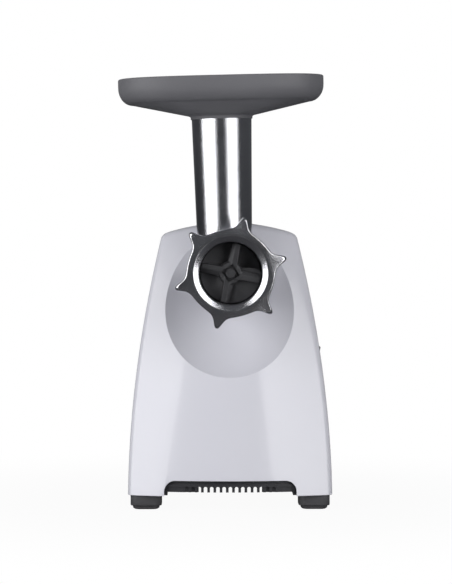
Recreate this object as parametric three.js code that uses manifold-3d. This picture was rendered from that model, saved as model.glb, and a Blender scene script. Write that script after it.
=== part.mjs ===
// Electric meat grinder. Millimetres, +Z up, the screw barrel points along -Y, towards the cook.
// Inside the machine group, x = 0 is the middle of the housing, y = 0 is the axis of the feed tube
// and z = 0 is the table top.
import * as THREE from "three";
import { mergeVertices } from "three/addons/utils/BufferGeometryUtils.js";
import Module from "manifold-3d";

const wasm = await Module();
wasm.setup();
const { Manifold, Mesh } = wasm;

// ---------------------------------------------------------------- sizes
// origin: moves the machine so that the middle of the whole object's footprint is x = 0, y = 0
const ORIGIN_X = 4.5;
const ORIGIN_Y = -47.5;

// housing
const FOOT_HEIGHT = 13;
const BODY_TOP = 260.6;
const BASE_HALF_WIDTH = 93;
const SHOULDER_HALF_WIDTH = 61.8;
const SIDE_CURVE = 1.9;
const FRONT_Y = -50;
const FRONT_LEAN = 59.424;
const FRONT_BEND = 22.683;
const FRONT_RADIUS = 282;
const FRONT_RADIUS_FALL = 0.65;
const REAR_Y = 165;
const REAR_SLOPE = 0.06;
const REAR_RADIUS = 420;
const CORNER_RADIUS = 7;
const REAR_CORNER_RADIUS = 24;
const CROWN_RADIUS = 206.8;
const CROWN_START_Y = 29;
const CROWN_DROP = 9;
const CROWN_RING_SHARE = 0.5;
const TOP_EDGE_RADIUS = 6;
const WALL = 2.8;
const SEAM_Y = 60;
const GAP = 0.3;

// barrel, ring and screw, all on one axis
const SCOOP_RADIUS = 112;
const SCOOP_CENTRE_Y = -77;
const BARREL_BORE = 28;
const BARREL_WALL = 3.5;
const BARREL_RADIUS = BARREL_BORE + BARREL_WALL;
const THREAD_HEIGHT = 1.8;
const THREAD_RADIUS = BARREL_RADIUS + THREAD_HEIGHT;
const SPIGOT_RADIUS = BARREL_RADIUS - 0.5;
const SOCKET_BORE = SPIGOT_RADIUS + 0.5;
const SOCKET_GROOVE = SOCKET_BORE + 4.3;
const SOCKET_RADIUS = SOCKET_GROOVE + 2.2;
const SOCKET_DEPTH = 7.1;
const BARREL_Z = BODY_TOP - SOCKET_DEPTH - SOCKET_RADIUS;
const RING_FRONT_Y = -72;
const RING_LENGTH = 25;
const RING_RADIUS = THREAD_RADIUS + 5.9;
const RING_OPENING = BARREL_BORE + 0.2;
const RING_BEVEL = 4.8;
const RING_LIP = 6;
const LUG_COUNT = 6;
const LUG_LENGTH = 12.2;
const LUG_REACH = RING_RADIUS + LUG_LENGTH;
const LUG_START = 15.5;

// knife and screw; the screen plate that they work against has its seat in the barrel's mouth
const BORE_CLEARANCE = 0.8;
const KNIFE_REACH = BARREL_BORE - BORE_CLEARANCE;
const KNIFE_FRONT_Y = RING_FRONT_Y + 10;
const KNIFE_THICKNESS = 5;
const KNIFE_ARMS = 4;
const KNIFE_ARM_WIDTH = 8.4;
const KNIFE_TURN = 12.4;
const PLATE_SEAT_RADIUS = BARREL_BORE + 3.2;
const SHANK_WIDTH = 11.4;
const SHANK_PIN_RADIUS = 4.6;
const AUGER_REACH = BARREL_BORE - BORE_CLEARANCE;
const AUGER_CORE = 11;
const AUGER_PITCH = 24;
const AUGER_TAIL_RADIUS = 8;
const TAIL_FLATS = 9;
const BUSH_RADIUS = 12;

// feed tube and tray
const HEAD_LEAN = 1.45;
const TUBE_OFFSET = -4;
const TUBE_TOP_RADIUS = 27.6;
const TUBE_FOOT_RADIUS = 24.6;
const TUBE_WALL = 2.4;
const TUBE_TOP_Z = BARREL_Z + 145.5;
const TRAY_RIM_Z = TUBE_TOP_Z + 32;
const TRAY_HALF_LENGTH = 94;
const TRAY_HALF_DEPTH = 62;
const TRAY_SQUARENESS = 3.2;
const TRAY_WALL_HEIGHT = 22.7;
const TRAY_EDGE_RADIUS = 11;
const TRAY_WALL = 2.4;
const COLLAR_FOOT_Z = TUBE_TOP_Z - 5.5;
const SPIGOT_WALL = 1.8;
const SPIGOT_FOOT_GAP = 1;
const SPIGOT_FOOT_WALL = 0.6;
const SPIGOT_ROOM = 0.18;
const TRAY_SPIGOT_LENGTH = 22;

// head socket: its front lip stands clear of the feed tube, and all behind it follows
const SOCKET_FRONT_Y = TUBE_FOOT_RADIUS + 3.8;
const SOCKET_GROOVE_Y = SOCKET_FRONT_Y + 9.1;
const GROOVE_WIDTH = 6;
const BARREL_FLOOR_Y = SOCKET_FRONT_Y + 1.6;
const SPIGOT_END_Y = SOCKET_GROOVE_Y + 9.5;
const SOCKET_FLOOR_Y = SPIGOT_END_Y + 1.3;
const SOCKET_BACK_Y = SOCKET_FLOOR_Y + 4.7;
const SOCKET_HOLE = 16;
const BAYONET_REACH = SOCKET_GROOVE - 0.4;
const BAYONET_HALF_ANGLE = 14;
const UNLOCK_TURN = 30;
const COUPLING_Y = SPIGOT_END_Y - 7;
const COUPLING_RADIUS = 9.5;

// release button and the latch tooth that it carries
const RELEASE_Y = SOCKET_BACK_Y - 2.8;
const RELEASE_RADIUS = 8.5;
const RELEASE_STAND = 0.8;
const TOOTH_HALF_WIDTH = 2.4;
const TOOTH_REACH = SPIGOT_RADIUS - 0.6;
const TOOTH_HEIGHT = 3;
const TOOTH_FRONT_Y = SPIGOT_END_Y - 3.4;
const LATCH_MARGIN = 8.5;
const RELEASE_TRAVEL = 3;

// gear train: teeth and module of each stage, driver first
const STAGES = [
  { pinion: 14, wheel: 60, module: 1.1 },
  { pinion: 14, wheel: 50, module: 1.25 },
  { pinion: 14, wheel: 42, module: 1.6 },
];
const ADDENDUM = 0.6;
const DEDENDUM = 1.1;
const PRESSURE_ANGLE = THREE.MathUtils.degToRad(20);
const TOOTH_THINNING = 0.2;
const PIN_RADIUS = 3;
const SHAFT_RADIUS = 6;
const GEARBOX_Y = SOCKET_BACK_Y + 9;
const GEARBOX_WALL = 2.4;
const OUTPUT_BEARING_RADIUS = 12;
const GEARBOX_EAR_X = 42;
const GEARBOX_EAR_DROP = 43.5;
const GEARBOX_DEPTH = 38;
const COVER_THICKNESS = 3;
const GEAR_ROOM = 0.9;
const FACE_WIDTH = 7;

// motor
const MOTOR_SHAFT_RADIUS = 4;
const CORE_RADIUS = 21;
const CORE_SETBACK = 26;
const FAN_ROOM = 18;
const STATOR_HALF_WIDTH = 38;
const AIR_GAP = 1;
const MOTOR_FRONT_ROOM = 11.33;
const COMMUTATOR_SETBACK = 10;
const COMMUTATOR_LENGTH = 13;
const BEARING_WIDTH = 6;
const BEARING_RADIUS = 9;

// base, feet and vents
const FOOT_WIDTH = 28.5;
const FOOT_X = BASE_HALF_WIDTH - 16.5;
const FRONT_FOOT_Y = -21;
const REAR_FOOT_Y = 143;
const ARCH_HALF_WIDTH = BASE_HALF_WIDTH - 33;
const ARCH_TOP = 27;
const ARCH_RADIUS = 10;
const LIP_FOOT_Z = 16.3;
const FLOOR_Z = 21;
const FLOOR_THICKNESS = 3;
const BASE_INSET = WALL + 0.6;
const BASE_FIT = 0.1;
const PAD_THICKNESS = 3.6;
const VENT_COUNT = 15;
const VENT_PITCH = 5.63;
const VENT_WIDTH = 3.2;
const VENT_TOP_Z = 21.5;
const BASE_SCREW_X = BASE_HALF_WIDTH - 13;
const BASE_SCREW_YS = [15, 112];

// switch panel on the right-hand side of the rear shell, and the cord gland
const PANEL_Y = 108;
const PANEL_Z = 112;
const PANEL_HEIGHT = 72;
const PANEL_WIDTH = 34;
const PANEL_STAND = 1.4;
const PANEL_MARGIN = 5;
const ROCKER_Z = 13;
const ROCKER_WIDTH = 19;
const ROCKER_HALF_LENGTH = 15.2;
const ROCKER_ROOM = 0.8;
const BUTTON_Z = -22;
const BUTTON_RADIUS = 8;
const BOARD_Z = 34;
const GLAND_X = -48;
const GLAND_Z = 46;
const GLAND_RADIUS = 7;
const GLAND_STAND = 6;

// fasteners
const SCREW_RADIUS = 1.9;
const SCREW_HEAD_RADIUS = 3.6;
const SCREW_HEAD_HEIGHT = 2.4;
const SCREW_HOLE = 2.2;
const WELL_RADIUS = 6;
const WELL_BORE = 4.2;
const HOUSING_SCREWS = [
  { name: "housing_screw_lower_left", x: 15 - BASE_HALF_WIDTH, z: 52 },
  { name: "housing_screw_lower_right", x: BASE_HALF_WIDTH - 15, z: 52 },
  { name: "housing_screw_upper_left", x: 8.8 - SHOULDER_HALF_WIDTH, z: BODY_TOP - 39.6 },
  { name: "housing_screw_upper_right", x: SHOULDER_HALF_WIDTH - 8.8, z: BODY_TOP - 39.6 },
];

// ---------------------------------------------------------------- materials
const finish = (color, roughness, metalness) =>
  new THREE.MeshStandardMaterial({ color, roughness, metalness });
const WHITE_GLOSS = finish(0xdcdce4, 0.22, 0);
const DARK_PLASTIC = finish(0x3c3c40, 0.5, 0);
const TRAY_PLASTIC = finish(0x5f5f63, 0.55, 0);
const POLISHED = finish(0xb8b8bc, 0.18, 1);
const CAST_GREY = finish(0x6c6c6e, 0.45, 0.9);
const STEEL = finish(0x9a9a9e, 0.35, 1);
const RUBBER = finish(0x2c2c2e, 0.8, 0);
const NYLON = finish(0xe6e2d2, 0.5, 0);
const COPPER = finish(0xa8602c, 0.35, 1);
const CARBON = finish(0x1c1c1e, 0.7, 0);
const LAMINATION = finish(0x55585c, 0.5, 0.9);
const BOARD_GREEN = finish(0x1f5a3a, 0.5, 0);
const CAPACITOR_BLUE = finish(0x27406e, 0.4, 0);

// ---------------------------------------------------------------- solids
const rad = THREE.MathUtils.degToRad;
const AXIS_X = new THREE.Vector3(1, 0, 0);
const AXIS_Y = new THREE.Vector3(0, 1, 0);
const AXIS_Z = new THREE.Vector3(0, 0, 1);

// A closed geometry as a solid, with its faces pointing out.
function solidFrom(geometry) {
  const bare = geometry.clone();
  bare.deleteAttribute("normal");
  bare.deleteAttribute("uv");
  const merged = mergeVertices(bare, 1e-4);
  const solid = new Manifold(
    new Mesh({
      numProp: 3,
      vertProperties: merged.attributes.position.array,
      triVerts: new Uint32Array(merged.index.array),
    }),
  );
  if (solid.volume() >= 0) return solid;
  const turned = new Uint32Array(merged.index.array);
  for (let i = 0; i < turned.length; i += 3) {
    [turned[i + 1], turned[i + 2]] = [turned[i + 2], turned[i + 1]];
  }
  return new Manifold(
    new Mesh({ numProp: 3, vertProperties: merged.attributes.position.array, triVerts: turned }),
  );
}

function geometryFrom(solid) {
  const mesh = solid.getMesh();
  const geometry = new THREE.BufferGeometry();
  geometry.setAttribute("position", new THREE.BufferAttribute(mesh.vertProperties, 3));
  geometry.setIndex(new THREE.BufferAttribute(mesh.triVerts, 1));
  geometry.computeVertexNormals();
  return geometry;
}

const join = (...solids) => solids.reduce((all, one) => all.add(one));
const cut = (solid, ...tools) => tools.reduce((left, tool) => left.subtract(tool), solid);
const moved = (solid, x, y, z) => solid.translate([x, y, z]);

function box(x0, x1, y0, y1, z0, z1) {
  const geometry = new THREE.BoxGeometry(x1 - x0, y1 - y0, z1 - z0);
  geometry.translate((x0 + x1) / 2, (y0 + y1) / 2, (z0 + z1) / 2);
  return solidFrom(geometry);
}

// A round bar along Y, and one along Z.
function rodY(x, z, radius, y0, y1, sides = 20) {
  const geometry = new THREE.CylinderGeometry(radius, radius, y1 - y0, sides);
  geometry.translate(x, (y0 + y1) / 2, z);
  return solidFrom(geometry);
}

function rodZ(x, y, radius, z0, z1, sides = 24, topRadius = radius) {
  const geometry = new THREE.CylinderGeometry(topRadius, radius, z1 - z0, sides);
  geometry.rotateX(Math.PI / 2);
  geometry.translate(x, y, (z0 + z1) / 2);
  return solidFrom(geometry);
}

const ringY = (x, z, outer, inner, y0, y1, sides = 20) =>
  rodY(x, z, outer, y0, y1, sides).subtract(rodY(x, z, inner, y0 - 1, y1 + 1, sides));

// A profile of [radius, y] points turned about the Y axis, closed on itself.
function turnedY(profile, sides = 36) {
  const points = [...profile, profile[0]].map(([r, y]) => new THREE.Vector2(r, y));
  return solidFrom(new THREE.LatheGeometry(points, sides));
}

// A flat shape in x and z, from y0 back to y1.
function plateY(shape, y0, y1, curveSegments = 6) {
  const geometry = new THREE.ExtrudeGeometry(shape, {
    depth: y1 - y0,
    bevelEnabled: false,
    curveSegments,
  });
  geometry.rotateX(Math.PI / 2);
  geometry.translate(0, y1, 0);
  return solidFrom(geometry);
}

// A flat shape in x and y, from z0 up to z1.
function plateZ(shape, z0, z1, curveSegments = 6) {
  const geometry = new THREE.ExtrudeGeometry(shape, {
    depth: z1 - z0,
    bevelEnabled: false,
    curveSegments,
  });
  geometry.translate(0, 0, z0);
  return solidFrom(geometry);
}

function polygon(points) {
  return new THREE.Shape(points.map(([x, y]) => new THREE.Vector2(x, y)));
}

function roundedRectangle(width, height, radius) {
  const shape = new THREE.Shape();
  const x = width / 2 - radius;
  const y = height / 2 - radius;
  shape.absarc(x, y, radius, 0, Math.PI / 2);
  shape.absarc(-x, y, radius, Math.PI / 2, Math.PI);
  shape.absarc(-x, -y, radius, Math.PI, 1.5 * Math.PI);
  shape.absarc(x, -y, radius, 1.5 * Math.PI, 2 * Math.PI);
  return shape;
}

// Closed rings of equal length, one above the other, skinned and capped. Each cap is a fan.
function loft(rings) {
  const count = rings[0].length;
  const points = rings.flat();
  const middle = (ring) =>
    ring
      .reduce((sum, p) => sum.add(p), new THREE.Vector3())
      .divideScalar(ring.length);
  const low = points.length;
  points.push(middle(rings[0]), middle(rings[rings.length - 1]));
  const faces = [];
  for (let k = 0; k + 1 < rings.length; k++) {
    for (let i = 0; i < count; i++) {
      const a = k * count + i;
      const b = k * count + ((i + 1) % count);
      faces.push(a, b, b + count, a, b + count, a + count);
    }
  }
  const top = (rings.length - 1) * count;
  for (let i = 0; i < count; i++) {
    const next = (i + 1) % count;
    faces.push(low, next, i, low + 1, top + i, top + next);
  }
  const geometry = new THREE.BufferGeometry().setFromPoints(points);
  geometry.setIndex(faces);
  return solidFrom(geometry);
}

// ---------------------------------------------------------------- housing form
const sideSpan = BODY_TOP - TOP_EDGE_RADIUS - FOOT_HEIGHT;

function halfWidth(z) {
  const rise = Math.max(0, z - FOOT_HEIGHT) / sideSpan;
  return BASE_HALF_WIDTH - (BASE_HALF_WIDTH - SHOULDER_HALF_WIDTH) * rise ** SIDE_CURVE;
}

function sideLean(z) {
  const rise = (z - FOOT_HEIGHT) / sideSpan;
  const slope = ((BASE_HALF_WIDTH - SHOULDER_HALF_WIDTH) * SIDE_CURVE) / sideSpan;
  return Math.atan(slope * rise ** (SIDE_CURVE - 1));
}

// The front leans back and bends as it rises, and ends at the same depth whatever the height.
const frontY = (z) => {
  const rise = (z - FOOT_HEIGHT) / (BODY_TOP - FOOT_HEIGHT);
  return FRONT_Y + FRONT_LEAN * rise + FRONT_BEND * rise * rise;
};
const frontRadius = (z) => FRONT_RADIUS - FRONT_RADIUS_FALL * (z - FOOT_HEIGHT);
const rearY = (z) => REAR_Y - REAR_SLOPE * (z - FOOT_HEIGHT);

// Height of the domed top over a point of the plan.
function crownZ(x, y) {
  const back = Math.max(0, y - CROWN_START_Y) / (REAR_Y - CROWN_START_Y);
  return BODY_TOP - (x * x) / (2 * CROWN_RADIUS) - CROWN_DROP * back * back;
}

// One end of the plan outline: an arc from the middle to a corner of its own radius, right half.
// sign is -1 for the front and 1 for the rear.
function endArc(apex, radius, half, corner, sign, arcSteps, cornerSteps) {
  const centre = apex - sign * radius;
  const cornerX = half - corner;
  const reach = radius - corner;
  const cornerY = centre + sign * Math.sqrt(reach * reach - cornerX * cornerX);
  const spread = Math.asin(cornerX / reach);
  const points = [];
  for (let i = 0; i <= arcSteps; i++) {
    const a = (spread * i) / arcSteps;
    points.push([radius * Math.sin(a), centre + sign * radius * Math.cos(a)]);
  }
  for (let i = 1; i <= cornerSteps; i++) {
    const a = spread + ((Math.PI / 2 - spread) * i) / cornerSteps;
    points.push([cornerX + corner * Math.sin(a), cornerY + sign * corner * Math.cos(a)]);
  }
  return points;
}

// Steps along the front arc, the front corner, the rear arc and the rear corner.
const OUTSIDE_STEPS = [5, 2, 2, 3];
const INSIDE_STEPS = [4, 1, 2, 2];

// The housing's plan outline at height z, pulled in by inset, anticlockwise from above.
function planOutline(z, inset, steps) {
  const half = halfWidth(z) - inset;
  const front = endArc(
    frontY(z) + inset, frontRadius(z) - inset, half, CORNER_RADIUS - inset / 2, -1, steps[0], steps[1],
  );
  const rear = endArc(
    rearY(z) - inset, REAR_RADIUS - inset, half, REAR_CORNER_RADIUS - inset, 1, steps[2], steps[3],
  );
  const right = [...front, ...rear.reverse()];
  const left = right.slice(1, -1).reverse().map(([x, y]) => [-x, y]);
  return [...right, ...left];
}

// The solid form of the housing, pulled in by inset, with its foot at z = foot.
function housingForm(inset, foot, steps, levels, roundingAngles) {
  const rim = planOutline(BODY_TOP - TOP_EDGE_RADIUS, inset, steps);
  const tops = rim.map(([x, y]) => crownZ(x, y) - inset);
  const radius = TOP_EDGE_RADIUS - inset / 2;
  const ring = (heightOf, pull) =>
    rim.map((_, i) => {
      const z = heightOf(tops[i]);
      const [x, y] = planOutline(z, inset + pull, steps)[i];
      return new THREE.Vector3(x, y, z);
    });
  const rings = levels.map((u) => ring((top) => foot + (top - radius - foot) * u, 0));
  for (const angle of roundingAngles) {
    const pull = radius * (1 - Math.cos(rad(angle)));
    const rise = radius * Math.sin(rad(angle));
    rings.push(ring((top) => top - radius + rise, pull));
  }
  const edge = rings[rings.length - 1];
  const middleY = (frontY(BODY_TOP) + rearY(BODY_TOP)) / 2;
  const share = CROWN_RING_SHARE;
  rings.push(
    edge.map((p) => {
      const x = p.x * share;
      const y = middleY + (p.y - middleY) * share;
      const edgeDrop = crownZ(p.x, p.y) - inset - p.z;
      return new THREE.Vector3(x, y, crownZ(x, y) - inset - edgeDrop * share);
    }),
  );
  return loft(rings);
}

// The hollow of the housing, and what is to fit inside it: the same facets, pulled in by inset.
const hollowForm = (inset) =>
  housingForm(inset, FOOT_HEIGHT - 1, INSIDE_STEPS, [0, 0.35, 0.7, 1], [90]);

// A ball round the barrel's axis, its poles on that axis.
function scoopBall(radius, around, along) {
  const geometry = new THREE.SphereGeometry(radius, around, along);
  geometry.translate(0, SCOOP_CENTRE_Y, BARREL_Z);
  return solidFrom(geometry);
}

// ---------------------------------------------------------------- switch panel place
const panelLean = sideLean(PANEL_Z);
const panelMatrix = new THREE.Matrix4()
  .makeRotationY(-panelLean)
  .setPosition(halfWidth(PANEL_Z), PANEL_Y, PANEL_Z);
const toPanel = (solid) => solid.transform(panelMatrix.elements.slice());

// A rounded plate in the panel's own frame, where x points out of the side wall and z up it.
function panelPlate(width, height, radius, x0, x1) {
  const geometry = new THREE.ExtrudeGeometry(roundedRectangle(width, height, radius), {
    depth: x1 - x0,
    bevelEnabled: false,
    curveSegments: 2,
  });
  geometry.applyMatrix4(new THREE.Matrix4().makeBasis(AXIS_Y, AXIS_Z, AXIS_X));
  geometry.translate(x0, 0, 0);
  return solidFrom(geometry);
}

// ---------------------------------------------------------------- piece lists
const machine = new THREE.Group();
machine.position.set(ORIGIN_X, ORIGIN_Y, 0);
const head = new THREE.Group();
head.position.set(0, 0, BARREL_Z);
head.rotation.y = rad(-HEAD_LEAN);
machine.add(head);

function addPiece(parent, name, solid, material) {
  const mesh = new THREE.Mesh(geometryFrom(solid), material);
  mesh.name = name;
  parent.add(mesh);
  return mesh;
}

// ---------------------------------------------------------------- shells
function archCutter() {
  const shape = new THREE.Shape();
  const corner = ARCH_HALF_WIDTH - ARCH_RADIUS;
  shape.moveTo(-ARCH_HALF_WIDTH, 0);
  shape.lineTo(ARCH_HALF_WIDTH, 0);
  shape.absarc(corner, ARCH_TOP - ARCH_RADIUS, ARCH_RADIUS, 0, Math.PI / 2);
  shape.absarc(-corner, ARCH_TOP - ARCH_RADIUS, ARCH_RADIUS, Math.PI / 2, Math.PI);
  return plateY(shape, FRONT_Y - 20, SEAM_Y - 20, 5);
}

function makeShells() {
  const outer = housingForm(
    0, FOOT_HEIGHT, OUTSIDE_STEPS, [0, 0.22, 0.43, 0.63, 0.82, 1], [45, 90],
  );
  const cavity = hollowForm(WALL).subtract(scoopBall(SCOOP_RADIUS + WALL, 24, 14));
  const shell = cut(outer, scoopBall(SCOOP_RADIUS, 36, 20), cavity);

  const far = 400;
  const frontHalf = box(-far, far, -far, SEAM_Y, -1, far);
  const rearHalf = box(-far, far, SEAM_Y + GAP, far, -1, far);
  let front = shell.intersect(frontHalf);
  let rear = shell.intersect(rearHalf);

  // screw bosses and wells, tied to the side walls by webs, all kept inside the outer form
  const skin = outer.subtract(scoopBall(SCOOP_RADIUS + WALL / 2, 24, 14));
  for (const { x, z } of HOUSING_SCREWS) {
    const side = Math.sign(x);
    const wallX = side * (halfWidth(z) - WALL / 2);
    const [x0, x1] = [Math.min(x, wallX), Math.max(x, wallX)];
    const bossFront = SEAM_Y - 32;
    const boss = join(
      rodY(x, z, WELL_RADIUS - 1, bossFront, SEAM_Y - GAP, 16),
      box(x0, x1, bossFront, SEAM_Y - GAP, z - 2, z + 2),
    );
    front = cut(
      front.add(boss.intersect(skin)),
      rodY(x, z, SCREW_HOLE, SEAM_Y - 20, SEAM_Y + 1, 12),
    );
    const well = join(
      rodY(x, z, WELL_RADIUS, SEAM_Y + GAP, REAR_Y, 16),
      box(x0, x1, SEAM_Y + GAP, REAR_Y, z - 2, z + 2),
    );
    rear = cut(
      rear.add(well.intersect(outer)),
      rodY(x, z, WELL_BORE, SEAM_Y + GAP + 3, REAR_Y + 10, 16),
      rodY(x, z, SCREW_HOLE, SEAM_Y - 1, SEAM_Y + 5, 12),
    );
  }
  for (const side of [-1, 1]) {
    const x = side * BASE_SCREW_X;
    BASE_SCREW_YS.forEach((y, i) => {
      const foot = FOOT_HEIGHT + PAD_THICKNESS + GAP;
      const boss = join(
        rodZ(x, y, 5, foot, foot + 22, 16),
        box(
          Math.min(x, x + side * 11), Math.max(x, x + side * 11), y - 1.5, y + 1.5, foot, foot + 22,
        ),
      ).intersect(outer);
      const hole = rodZ(x, y, SCREW_HOLE, foot - 1, foot + 16, 12);
      if (i === 0) front = cut(front.add(boss), hole);
      else rear = cut(rear.add(boss), hole);
    });
  }

  front = cut(
    front,
    archCutter(),
    rodY(0, BARREL_Z, SOCKET_RADIUS + GAP, 0, SEAM_Y - 10, 40),
    rodZ(0, RELEASE_Y, RELEASE_RADIUS + 0.4, BODY_TOP - 12, BODY_TOP + 5, 24),
  );
  const panelHole = toPanel(
    panelPlate(PANEL_WIDTH - PANEL_MARGIN, PANEL_HEIGHT - PANEL_MARGIN, 6, -12, 6),
  );
  rear = cut(rear, panelHole, rodY(GLAND_X, GLAND_Z, GLAND_RADIUS + GAP, REAR_Y - 20, REAR_Y + 9, 20));
  addPiece(machine, "front_shell", front, WHITE_GLOSS);
  addPiece(machine, "rear_shell", rear, WHITE_GLOSS);
}

// ---------------------------------------------------------------- base, feet
const feetPlaces = [
  { name: "foot_front_left", x: -FOOT_X, y: FRONT_FOOT_Y },
  { name: "foot_front_right", x: FOOT_X, y: FRONT_FOOT_Y },
  { name: "foot_rear_left", x: -FOOT_X, y: REAR_FOOT_Y },
  { name: "foot_rear_right", x: FOOT_X, y: REAR_FOOT_Y },
];

const outlineShape = (z, inset) => polygon(planOutline(z, inset, INSIDE_STEPS));

function makeBase() {
  const inset = BASE_INSET;
  const pad = FOOT_HEIGHT + GAP;
  const floorTop = FLOOR_Z + FLOOR_THICKNESS;
  const slab = (z0, z1) => plateZ(outlineShape(ARCH_TOP, inset), z0, z1);
  const inner = ARCH_HALF_WIDTH - 3;
  const far = 300;
  const sides = slab(pad, FOOT_HEIGHT + PAD_THICKNESS).subtract(
    box(-inner, inner, -far, far, 0, FLOOR_Z),
  );
  const floor = slab(FLOOR_Z, floorTop).intersect(
    box(-ARCH_HALF_WIDTH, ARCH_HALF_WIDTH, -far, far, 0, far),
  );
  const webs = slab(pad, floorTop).intersect(
    join(
      box(-ARCH_HALF_WIDTH, -inner, -far, far, 0, far),
      box(inner, ARCH_HALF_WIDTH, -far, far, 0, far),
    ),
  );
  // the lip that closes the arch stands just behind the front wall
  const lipTop = ARCH_TOP + 4;
  const lipBand = plateZ(outlineShape(lipTop, inset), LIP_FOOT_Z, lipTop).subtract(
    plateZ(outlineShape(lipTop, inset + 2.6), 0, far),
  );
  const lip = lipBand.intersect(
    box(-ARCH_HALF_WIDTH, ARCH_HALF_WIDTH, -far, 0, 0, far),
  );
  let base = join(sides, floor, webs, lip).intersect(hollowForm(WALL + BASE_FIT));
  const first = (-(VENT_COUNT - 1) / 2) * VENT_PITCH;
  for (let i = 0; i < VENT_COUNT; i++) {
    const x = first + i * VENT_PITCH;
    const half = VENT_WIDTH / 2;
    const slot = new THREE.Shape();
    slot.moveTo(x - half, LIP_FOOT_Z - 2);
    slot.lineTo(x + half, LIP_FOOT_Z - 2);
    slot.absarc(x, VENT_TOP_Z - half, half, 0, Math.PI);
    base = base.subtract(plateY(slot, FRONT_Y - 5, FRONT_Y + 12, 2));
    if (i % 3 === 1) {
      base = base.subtract(box(x - half, x + half, 0, 36, FLOOR_Z - 1, floorTop + 1));
    }
  }
  for (const { x, y } of feetPlaces) base = base.subtract(rodZ(x, y, 5.3, 0, FLOOR_Z, 16));
  for (const x of [-BASE_SCREW_X, BASE_SCREW_X]) {
    for (const y of BASE_SCREW_YS) base = base.subtract(rodZ(x, y, SCREW_HOLE, 0, FLOOR_Z, 12));
  }
  for (const [x, y] of boardPosts) {
    base = base.add(rodZ(x, y, 3, FLOOR_Z + 1, BOARD_Z - GAP, 12));
  }
  addPiece(machine, "base_plate", base, DARK_PLASTIC);
}

function makeFeet() {
  for (const { name, x, y } of feetPlaces) {
    const tread = 3.4;
    const upper = plateZ(roundedRectangle(FOOT_WIDTH, FOOT_WIDTH, 7), tread, FOOT_HEIGHT, 2);
    const lower = loft(
      [
        [0, FOOT_WIDTH - 7.5],
        [1.2, FOOT_WIDTH - 4.5],
        [tread, FOOT_WIDTH - 4.2],
      ].map(([z, width]) =>
        roundedRectangle(width, width, 6)
          .getPoints(2)
          .slice(0, -1)
          .map((p) => new THREE.Vector3(p.x, p.y, z)),
      ),
    );
    const stem = rodZ(0, 0, 5, FOOT_HEIGHT - 1, FOOT_HEIGHT + PAD_THICKNESS + 1, 12);
    addPiece(machine, name, moved(join(upper, lower, stem), x, y, 0), RUBBER);
  }
}

// ---------------------------------------------------------------- screws
// A pan-head screw along Z, its head under z = 0 and its shank up, or turned to point along -Y.
function screw(shank, headHeight = SCREW_HEAD_HEIGHT) {
  return join(
    rodZ(0, 0, SCREW_RADIUS, -0.5, shank, 8),
    rodZ(0, 0, SCREW_HEAD_RADIUS, -headHeight, 0, 12),
  );
}

const screwForward = (shank) => screw(shank).rotate([90, 0, 0]);

function makeScrews() {
  for (const { name, x, z } of HOUSING_SCREWS) {
    const headFace = SEAM_Y + GAP + 3 + GAP;
    addPiece(machine, name, moved(screwForward(20), x, headFace, z), STEEL);
  }
  const sides = { left: -1, right: 1 };
  for (const [side, sign] of Object.entries(sides)) {
    ["front", "rear"].forEach((end, i) => {
      const shape = moved(
        screw(14), sign * BASE_SCREW_X, BASE_SCREW_YS[i], FOOT_HEIGHT,
      );
      addPiece(machine, `base_screw_${end}_${side}`, shape, STEEL);
    });
  }
}

// ---------------------------------------------------------------- gears
// Spur gear outline in x and z: straight-sided teeth between the involute's own points.
function gearShape(teeth, module, phase, flankSteps) {
  const pitch = (teeth * module) / 2;
  const root = pitch - DEDENDUM * module;
  const tip = pitch + ADDENDUM * module;
  const base = pitch * Math.cos(PRESSURE_ANGLE);
  const involute = (r) => {
    const a = Math.acos(Math.min(1, base / r));
    return Math.tan(a) - a;
  };
  const halfTooth = (Math.PI / 2 - TOOTH_THINNING) / teeth + involute(pitch);
  const start = Math.max(root, base);
  const flank = [];
  for (let i = 0; i <= flankSteps; i++) {
    const r = start + ((tip - start) * i) / flankSteps;
    flank.push([r, halfTooth - involute(r)]);
  }
  if (root < base) flank.unshift([root, halfTooth]);
  const shape = new THREE.Shape();
  for (let k = 0; k < teeth; k++) {
    const middle = phase + (2 * Math.PI * k) / teeth;
    const rising = flank.map(([r, a]) => [r, middle - a]);
    const falling = [...flank].reverse().map(([r, a]) => [r, middle + a]);
    for (const [r, a] of [...rising, ...falling]) {
      if (k === 0 && a === rising[0][1]) shape.moveTo(r * Math.cos(a), r * Math.sin(a));
      else shape.lineTo(r * Math.cos(a), r * Math.sin(a));
    }
  }
  shape.closePath();
  return shape;
}

const centreDistances = STAGES.map((s) => (s.module * (s.pinion + s.wheel)) / 2);
const MOTOR_Z = BARREL_Z - centreDistances.reduce((a, b) => a + b);
const firstAxisZ = MOTOR_Z + centreDistances[0];

// The motor fills the depth between the front wall and the gearbox.
const FRONT_BEARING_Y = frontY(MOTOR_Z) + MOTOR_FRONT_ROOM;
const COMMUTATOR_Y = FRONT_BEARING_Y + COMMUTATOR_SETBACK;
const CORE_Y = FRONT_BEARING_Y + CORE_SETBACK;
const CORE_END_Y = GEARBOX_Y - FAN_ROOM;
const secondAxisZ = firstAxisZ + centreDistances[1];

// Each wheel sits above its pinion. The pinion points a tooth up, and the wheel a gap down.
const toothUp = Math.PI / 2;
const gapDown = (teeth) => -Math.PI / 2 + Math.PI / teeth;

function spurGear(teeth, module, phase, z, y0, y1, bore, flankSteps) {
  const gear = moved(plateY(gearShape(teeth, module, phase, flankSteps), y0, y1), 0, 0, z);
  return gear.subtract(rodY(0, z, bore, y0 - 1, y1 + 1, 20));
}

const PINION_STEPS = 1;
const WHEEL_STEPS = 1;
const stageY = [GEARBOX_Y + 5.5, GEARBOX_Y + 14, GEARBOX_Y + 23];

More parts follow.
